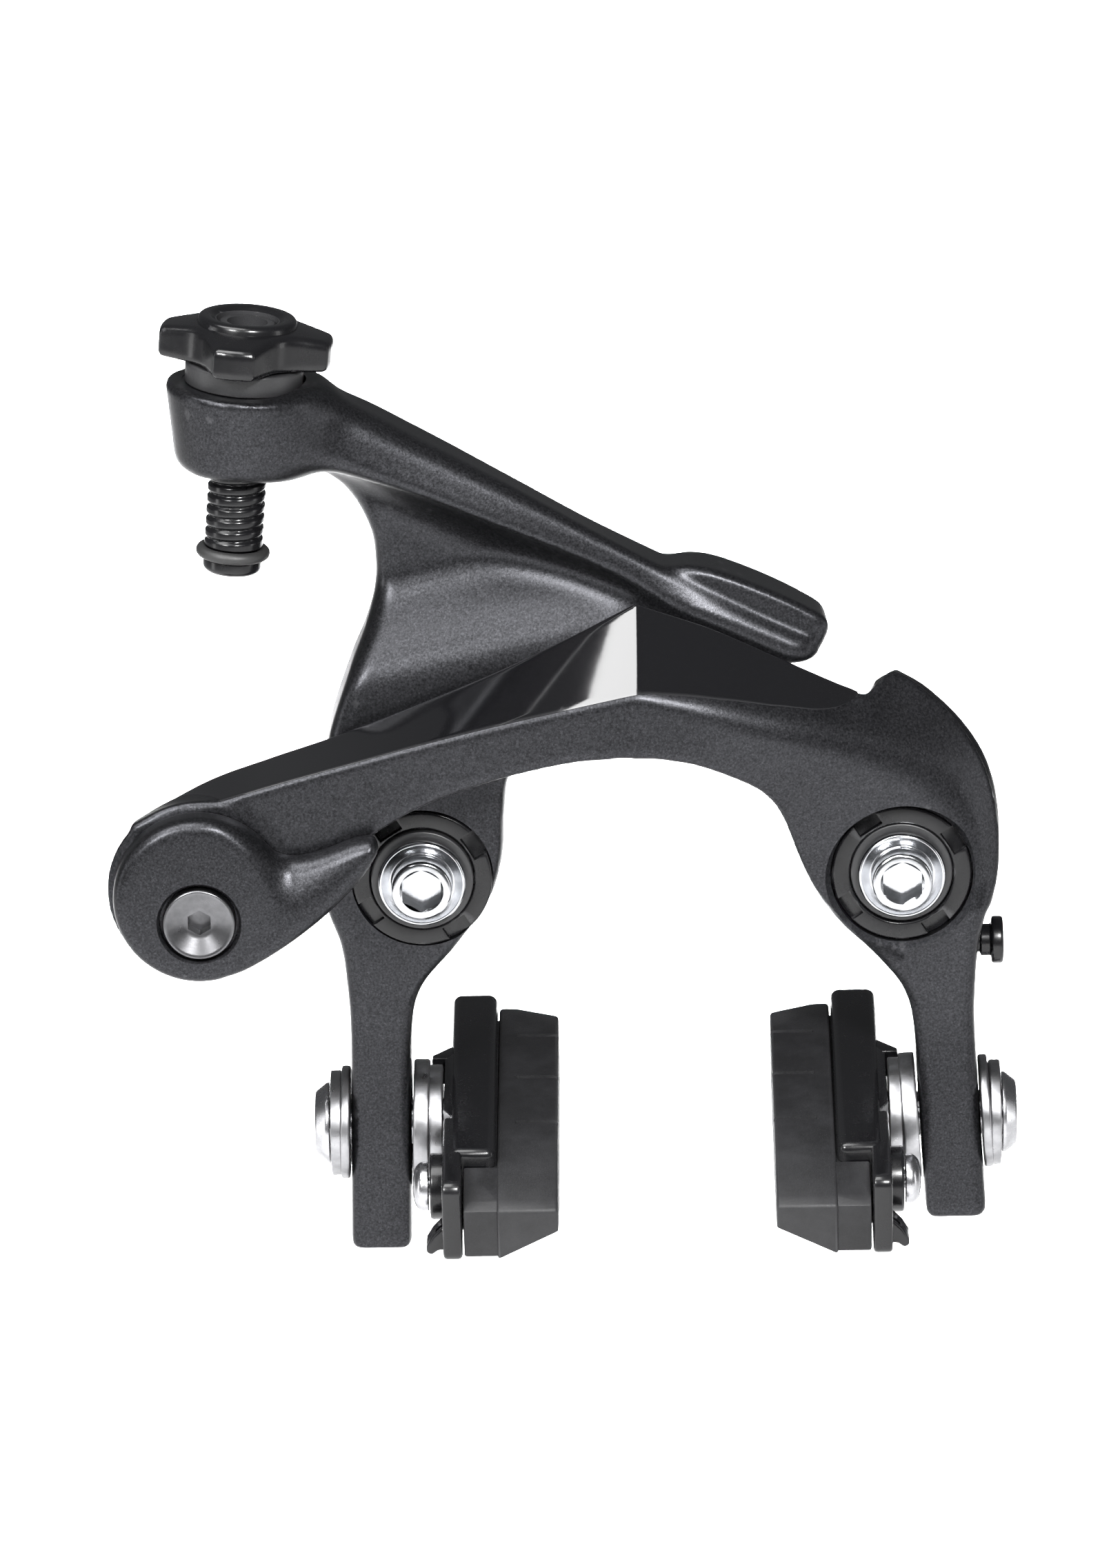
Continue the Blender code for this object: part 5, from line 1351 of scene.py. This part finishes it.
def quick_release():
    back = ARCH_FACE + FIT_GAP
    front = back + LEVER_THICK
    outline = lever_outline()
    low = np.array([min(p[0] for p in outline) - 1, -front - 1, min(p[1] for p in outline) - 1])
    high = np.array([max(p[0] for p in outline) + 1, -back + 1, max(p[1] for p in outline) + 1])
    box = (low, high)
    x, y, z = places(box, FINE_VOXEL)
    flat_x, flat_z = np.broadcast_arrays(x[:, 0, :], z[:, 0, :])
    edge = outline_distance(outline, flat_x.astype(float), flat_z.astype(float))
    across_x, across_z = flat_x - LEVER_X, flat_z - LEVER_Z
    from_centre = np.hypot(across_x, across_z)
    along = across_x * 0.86 + across_z * 0.51
    beside = across_z * 0.86 - across_x * 0.51
    tail = smooth_step(from_centre, 8.6, 13.0) * smooth_step(across_x, 2.0, 9.0)
    scoop = smooth_step(beside, -7.5, 1.5)
    height = front - 3.0 * tail * scoop - 0.9 * tail * smooth_step(along, 8, 20)
    height = height - 0.25 * (from_centre / LEVER_R) ** 2 * (1 - tail)
    forward = -y
    face = (forward - height[:, None, :]) * 0.94
    rear = back - forward
    field = -blended(-edge[:, None, :] * np.ones_like(forward), -face, 1.9)
    field = -blended(-field, -rear, 0.8)
    obj = meshed("lever_shape", field.astype(np.float32), box, FINE_VOXEL, smoothing=4)

    centre = at(LEVER_X, 0, LEVER_Z)
    join(obj, cylinder("lever_shaft", HUB_SHAFT_R, ARCH_BACK + 0.2, back + 1, centre))
    anchor = at(LEVER_X, 0, LEVER_Z - ECCENTRICITY)
    seat = front - ANCHOR_HEAD_SEAT
    wide = ANCHOR_HEAD_R + 0.4
    recess = [
        (0, front + 5),
        (wide + 5, front + 5),
        (wide + 0.35, front - 0.05),
        (wide, front - 0.5),
        (wide, seat),
        (0, seat),
    ]
    cut(
        obj,
        turned("head_recess", recess, anchor, soft=False),
        cylinder("anchor_bore", ANCHOR_BOLT_R + 0.1, ARCH_BACK - 5, front + 5, anchor),
    )
    piece(obj, "quick_release_lever", PAINT, "quick_release_group")

    low = ARCH_BACK - CLAMP_THICK - ANCHOR_NUT_THICK - 1.4
    bolt = [
        (0, front - 1.15),
        (1.9, front - 0.95, 0.3),
        (ANCHOR_HEAD_R - 0.55, front + 0.02, 0.25),
        (ANCHOR_HEAD_R - 0.2, front + 0.05, 0.2),
        (ANCHOR_HEAD_R, front - 0.3, 0.15),
        (ANCHOR_HEAD_R, seat + FIT_GAP / 2, 0.2),
        (ANCHOR_BOLT_R, seat + FIT_GAP / 2),
        (ANCHOR_BOLT_R, low + 0.4, 0.2),
        (ANCHOR_BOLT_R - 0.4, low, 0.2),
        (0, low),
    ]
    obj = turned("anchor", bolt, anchor)
    cut(obj, hex_cutter("anchor_hex", ANCHOR_HEX, front - 3.0, front + 2, anchor))
    piece(obj, "anchor_bolt", ANCHOR_GREY, "quick_release_group", sharp=40)

    clamp_top = ARCH_BACK - 0.1
    obj = ring_of("clamp", CLAMP_R, ANCHOR_BOLT_R + 0.15, clamp_top - CLAMP_THICK, clamp_top, anchor, 0.3)
    piece(obj, "cable_clamp_washer", ZINC, "quick_release_group")
    nut_top = clamp_top - CLAMP_THICK - 0.15
    nut_low = nut_top - ANCHOR_NUT_THICK
    corner = ANCHOR_NUT_ACROSS / math.sqrt(3)
    nut = cylinder("nut", corner, nut_low, nut_top, anchor, sides=6)
    dome = [
        (0, nut_top),
        (corner - 0.6, nut_top),
        (corner + 0.1, nut_top - 0.45),
        (corner + 0.1, nut_low + 0.45),
        (corner - 0.6, nut_low),
        (0, nut_low),
    ]
    combine(nut, [turned("nut_dome", dome, anchor, soft=False)], "INTERSECT")
    cut(nut, cylinder("nut_hole", ANCHOR_BOLT_R + 0.15, nut_low - 5, nut_top + 5, anchor))
    piece(nut, "anchor_nut", ZINC, "quick_release_group")


# ---------------------------------------------------------------- brake shoes


def shoe_centre():
    return SHOE_FORWARD, SHOE_Z - (SHOE_FORWARD - SLOT_FORWARD) * math.tan(math.radians(SHOE_TILT))


def shoe_place(side):
    """+X out from the rim to the leg, +Y along the shoe to its back end, +Z up."""
    forward, z = shoe_centre()
    tilt = Matrix.Rotation(math.radians(SHOE_TILT), 4, "X")
    return Matrix.Translation((0, -forward, z)) @ Matrix.Diagonal((side, 1, 1, 1)) @ tilt


def shoe_axis(side, along):
    forward, z = shoe_centre()
    tilt = math.radians(SHOE_TILT)
    return at(0, forward - along * math.cos(tilt), z + along * math.sin(tilt), (side, 0, 0))


def side_prism(name, outline, low, high, place):
    """A prism across the shoe, from an outline of (place along, height) points."""
    sideways = Matrix(((0, 0, 1, 0), (1, 0, 0, 0), (0, 1, 0, 0), (0, 0, 0, 1)))
    return prism(name, outline, low, high, place @ sideways)


def bar_outline(rounded_end, plain_end, height, rounding):
    """A bar along the shoe, rounded at one end, as (place along, height) points."""
    half = height / 2
    way = math.copysign(1, rounded_end - plain_end)
    corner = arc((0, half - rounding), rounding, 90, 0, 9)
    upper = [(rounded_end - way * rounding + way * a, b) for a, b in corner]
    lower = [(y, -z) for y, z in reversed(upper)]
    return [(plain_end, half)] + upper + lower + [(plain_end, -half)]


def shoe_holder(label, side, back, front, nose, group):
    place = shoe_place(side)
    half = SHOE_HEIGHT / 2
    holder = side_prism(
        "holder", bar_outline(back, nose + SEAT_GAP, SHOE_HEIGHT, 1.6), HOLDER_X, HOLDER_BACK_X, place
    )
    bevel(holder, 1.15, 5, 50)
    wall = side_prism("wall", bar_outline(front, -8.0, SHOE_HEIGHT - 0.6, 1.6), WALL_IN_X, HOLDER_OUT_X, place)
    bevel(wall, 0.5, 3, 50)
    bolt_along = SHOE_FORWARD - SLOT_FORWARD
    shoulder = [
        (x, bolt_along + y, z)
        for z in (half - 0.5, 0.5 - half)
        for x, reach in ((HOLDER_BACK_X - 1, 10.4), (SHOE_BOSS_X, 6.9))
        for y in (reach, -reach)
    ]
    boss = bevel(hull("boss", shoulder, place), 0.3, 2)
    flare = [
        (x, bolt_along + y, z)
        for z in (half - 0.7, 1.5)
        for x, y in (
            (HOLDER_BACK_X - 1, 12.0),
            (SHOE_BOSS_X + 1.7, 8.5),
            (SHOE_BOSS_X + 1.7, 7.5),
            (HOLDER_BACK_X - 1, 7.5),
        )
    ]
    flare_piece = bevel(hull("flare", flare, place), 0.25, 2)
    screw_axis = shoe_axis(side, PAD_SCREW_ALONG)
    screw_boss = turned(
        "screw_boss",
        [
            (0, HOLDER_OUT_X + 1.7),
            (4.3, HOLDER_OUT_X + 1.7, 0.4),
            (4.3, HOLDER_BACK_X - 0.6),
            (0, HOLDER_BACK_X - 0.6),
        ],
        screw_axis,
    )
    claw = [(27.6, -1.6), (29.2, -2.0), (30.3, -3.2), (31.1, -4.6)]
    claw += [(31.2, -5.5), (30.5, -5.9), (29.6, -5.2), (27.6, -5.2)]
    along = Matrix.Translation((0, front + 6.0, 0)) @ Matrix.Rotation(math.pi / 2, 4, "X")
    fin = bevel(prism("fin", claw, 0, 3.4, place @ along), 0.35, 3)
    join(holder, wall, boss, flare_piece, screw_boss, fin)
    rail = bar_outline(back - 2.4, nose - 9, 7.0, 0.8)
    cut(
        holder,
        side_prism("rail_room", rail, HOLDER_X - 2, PAD_BASE_X + 1.6, place),
        cylinder("bolt_bore", SHOE_BOLT_R + 0.15, SHOE_BOSS_X - 5.4, SHOE_BOSS_X + 9, clamp_axis(side)),
        cylinder("screw_bore", 1.4, HOLDER_OUT_X - 3.0, HOLDER_OUT_X + 9, screw_axis),
    )
    for n in range(4):
        along = front + 3.2 + 2.6 * n
        rib = [(along, 4.6), (along + 0.7, 4.6), (along + 0.7, -4.6), (along, -4.6)]
        if abs(along - PAD_SCREW_ALONG) > 5.2:
            cut(holder, side_prism("rib", rib, HOLDER_OUT_X - 0.35, HOLDER_OUT_X + 1, place))
    piece(holder, f"{label}_shoe_holder", BLACK, group, sharp=30)


def brake_pad(label, side, back, front, nose, group):
    place = shoe_place(side)
    end = back - 0.4
    slab = [
        (end - 0.8, PAD_ABOVE),
        (nose + 0.4, PAD_ABOVE),
        (front + 1.6, PAD_ABOVE - 1.4),
        (front, PAD_ABOVE - 2.2),
        (front + 0.6, 0.6 - PAD_BELOW),
        (front + 2.2, -PAD_BELOW),
        (end - 0.8, -PAD_BELOW),
        (end, 0.8 - PAD_BELOW),
        (end, PAD_ABOVE - 0.8),
    ]
    pad = side_prism("pad", slab, PAD_X, PAD_BASE_X, place)
    bevel(pad, 0.45, 3)
    rail_outline = bar_outline(back - 2.8, nose - 1, 6.6, 0.8)
    rail = side_prism("rail", rail_outline, PAD_BASE_X - 2, PAD_BASE_X + 1.4, place)
    cheek_outline = [
        (nose, PAD_ABOVE - 0.2),
        (front + 1.8, PAD_ABOVE - 1.6),
        (front + 0.4, PAD_ABOVE - 2.4),
        (front + 0.9, 0.9 - PAD_BELOW),
        (front + 2.4, 0.2 - PAD_BELOW),
        (nose, 0.2 - PAD_BELOW),
    ]
    cheek = bevel(side_prism("cheek", cheek_outline, PAD_BASE_X - 1.5, WALL_IN_X - SEAT_GAP, place), 0.3, 2)
    join(pad, rail, cheek)
    for along in GROOVES_ALONG:
        edge = back - along
        outline = []
        for k in range(13):
            z = 9 - 18 * k / 12
            outline.append((edge + 0.9 * (z / 6) ** 2, z))
        outline += [(y - 0.8, z) for y, z in reversed(outline)]
        cut(pad, side_prism("groove", outline, PAD_X - 2, PAD_X + 5.6, place))
    tail = [
        (x, y, z)
        for x, nearest in ((PAD_X - 1, end - 3.8), (PAD_BASE_X + 0.4, end + 0.1))
        for y in (nearest, end + 3)
        for z in (-20, 20)
    ]
    cut(pad, hull("tail_chamfer", tail, place))
    steep = 0.52
    wedge = [
        (x, y, z - PAD_BELOW - drop)
        for y, drop in ((front - 1, 0), (front + 17.0, 5.5))
        for x, z in ((PAD_X - 1, 5.2 + steep), (PAD_X + 11.0, -steep), (PAD_X - 1, -9), (PAD_X + 11.0, -9))
    ]
    cut(pad, hull("nose_chamfer", wedge, place))
    piece(pad, f"{label}_brake_pad", PAD_RUBBER, group, sharp=30)


def pad_screw(label, side, group):
    axis = shoe_axis(side, PAD_SCREW_ALONG)
    seat = HOLDER_OUT_X + 1.9
    top = seat + 2.0
    profile = [
        (0, top),
        (1.3, top, 0.2),
        (2.5, top - 0.25, 0.7),
        (PAD_SCREW_R, top - 1.0, 0.4),
        (PAD_SCREW_R, seat, 0.15),
        (PAD_SCREW_SHANK_R, seat),
        (PAD_SCREW_SHANK_R, HOLDER_OUT_X - 2.6, 0.2),
        (0, HOLDER_OUT_X - 2.6),
    ]
    obj = turned("screw", profile, axis)
    cut(obj, hex_cutter("screw_hex", PAD_SCREW_HEX, top - 1.3, top + 1, axis))
    piece(obj, f"{label}_pad_screw", BOLT_STEEL, group)


def clamp_axis(side):
    return at(0, SLOT_FORWARD, SHOE_Z, (side, 0, 0))


def ball_profile(flat, crown, radius, hole):
    """A washer's profile from its softened face, the crown, to its flat face, whichever of them is higher."""
    way = math.copysign(1, crown - flat)
    dome = [(hole, crown), (radius - 0.7, crown, 0.3), (radius, crown - 0.35 * way, 0.2)]
    dome += [(radius, flat, 0.2), (hole, flat)]
    return dome if way > 0 else dome[::-1]


def clamp_stack(label, side, lean, group):
    straight = clamp_axis(side)
    leg_middle = LEG_IN_X + LEG_THICK / 2
    slope = math.radians(lean)
    leaning = at(side * leg_middle, SLOT_FORWARD, SHOE_Z, (side * math.cos(slope), 0, math.sin(slope)))
    hole = SHOE_BOLT_R + 0.2
    cup_hole = SHOE_BOLT_R + 0.8
    face = LEG_THICK / 2 + SEAT_GAP
    washers = (
        ("inner_cup_washer", ring_of("cup", 8.3, cup_hole, -face - 2.1, -face, leaning, 0.35)),
        ("outer_cup_washer", ring_of("cup", 7.4, cup_hole, face, face + 1.2, leaning, 0.35)),
    )
    for name, obj in washers:
        piece(obj, f"{label}_{name}", ZINC, group)
    inner = SHOE_BOSS_X + SEAT_GAP
    obj = turned("ball", ball_profile(inner, leg_middle - face - 1.7, 7.4, hole), straight)
    piece(obj, f"{label}_inner_ball_washer", ZINC, group)
    outer = leg_middle + face + 1.2 + SEAT_GAP
    seat = outer + 1.1
    obj = turned("ball", ball_profile(seat, outer - 0.6, 6.9, hole), straight)
    piece(obj, f"{label}_outer_ball_washer", ZINC, group)
    head = seat + SEAT_GAP
    top = head + 1.9
    profile = [
        (0, top),
        (4.1, top, 0.3),
        (SHOE_HEAD_R, head + 0.4, 0.2),
        (SHOE_HEAD_R, head, 0.1),
        (SHOE_BOLT_R, head),
        (SHOE_BOLT_R, SHOE_BOSS_X - 5.0, 0.3),
        (0, SHOE_BOSS_X - 5.0),
    ]
    obj = turned("shoe_bolt", profile, straight)
    cut(obj, hex_cutter("shoe_hex", SHOE_HEX, top - 1.6, top + 1, straight))
    piece(obj, f"{label}_shoe_bolt", BOLT_STEEL, group)


def brake_shoe(label, side, lean):
    back, front = SHOE_LENGTH / 2 - 0.02, 0.02 - SHOE_LENGTH / 2
    nose = front + NOSE_LENGTH
    group = f"{label}_shoe_group"
    shoe_holder(label, side, back, front, nose, group)
    brake_pad(label, side, back, front, nose, group)
    pad_screw(label, side, group)
    clamp_stack(label, side, lean, group)


# ---------------------------------------------------------------- light and camera


def area_light(name, place, aim, size, power):
    data = bpy.data.lights.new(name, "AREA")
    data.shape = "RECTANGLE"
    data.size, data.size_y = size
    data.energy = power
    obj = bpy.data.objects.new(name, data)
    obj.location = place
    obj.rotation_euler = (Vector(aim) - Vector(place)).to_track_quat("-Z", "Y").to_euler()
    bpy.context.scene.collection.objects.link(obj)
    return obj


def studio():
    bpy.context.scene.view_settings.view_transform = "Standard"
    world = bpy.data.worlds.new("studio")
    bpy.context.scene.world = world
    world.use_nodes = True
    world.node_tree.nodes["Background"].inputs[0].default_value = (0.95, 0.97, 1.0, 1)
    world.node_tree.nodes["Background"].inputs[1].default_value = 0.12
    centre = (-0.01, -0.02, 0.01)
    area_light("key", (-0.42, -0.31, 0.86), (-0.42, -0.31, 0), (0.8, 0.5), 15)
    area_light("front_left", (-0.52, -0.78, 0.55), centre, (0.25, 0.25), 12)
    area_light("front_right", (0.22, -0.85, 0.62), centre, (0.16, 0.16), 20)
    area_light("left", (-0.95, -0.2, 0.05), centre, (0.2, 0.6), 1.5)
    area_light("right", (0.95, -0.25, 0.05), centre, (0.2, 0.6), 1.5)
    back = area_light("back", (0, 0.95, 1.1), (0, 0.95, 0), (0.6, 0.8), 16)
    back.data.spread = math.radians(40)

    floor_z = CAD_BOX[0].z - 0.2
    body = bmesh.new()
    bmesh.ops.create_grid(body, x_segments=1, y_segments=1, size=4)
    bmesh.ops.translate(body, verts=body.verts, vec=(0, 0, floor_z))
    mesh = bpy.data.meshes.new("floor")
    body.to_mesh(mesh)
    body.free()
    floor = bpy.data.objects.new("floor", mesh)
    bpy.context.scene.collection.objects.link(floor)
    t = Tree("pale_floor")
    shade = t.mixed(t.noise(0.004, detail=2), (0.86, 0.86, 0.865), (0.88, 0.88, 0.88))
    mesh.materials.append(t.set(base_color=shade, roughness=0.9))


def camera():
    elevation, roll, distance, aim = math.radians(18.5), math.radians(0.95), 1.2, Vector((0, -0.019, 0))
    back = Vector((0, -math.cos(elevation), math.sin(elevation)))
    right = Vector((1, 0, 0))
    up = back.cross(right)
    turned_right = right * math.cos(roll) - up * math.sin(roll)
    turned_up = up * math.cos(roll) + right * math.sin(roll)
    data = bpy.data.cameras.new("camera")
    data.sensor_fit = "HORIZONTAL"
    data.sensor_width = 36
    data.lens = 299.0
    data.shift_x = -0.0911
    data.shift_y = 0.0885
    data.clip_start = 0.01
    obj = bpy.data.objects.new("camera", data)
    matrix = Matrix((turned_right, turned_up, back)).transposed().to_4x4()
    matrix.translation = aim + back * distance
    obj.matrix_world = matrix
    bpy.context.scene.collection.objects.link(obj)
    bpy.context.scene.camera = obj


# ---------------------------------------------------------------- assembly

for side_name, side_x, side_face, way, arm in (
    ("left", -PIVOT_X, LEFT_FACE, 1, LEFT),
    ("right", PIVOT_X, RIGHT_FACE, -1, RIGHT),
):
    pivot(side_name, side_x, side_face, arm)
    return_spring(side_name, side_x, way, arm)
left_arm()
adjuster()
right_arm()
panel()
centring_screw()
roller()
quick_release()
for side_name, side_sign, side_lean in (("left", -1, LEFT_LEG_LEAN), ("right", 1, RIGHT_LEG_LEAN)):
    brake_shoe(side_name, side_sign, side_lean)
for helper in list(WORK.objects):
    bpy.data.objects.remove(helper)
bpy.data.collections.remove(WORK)
camera()
studio()
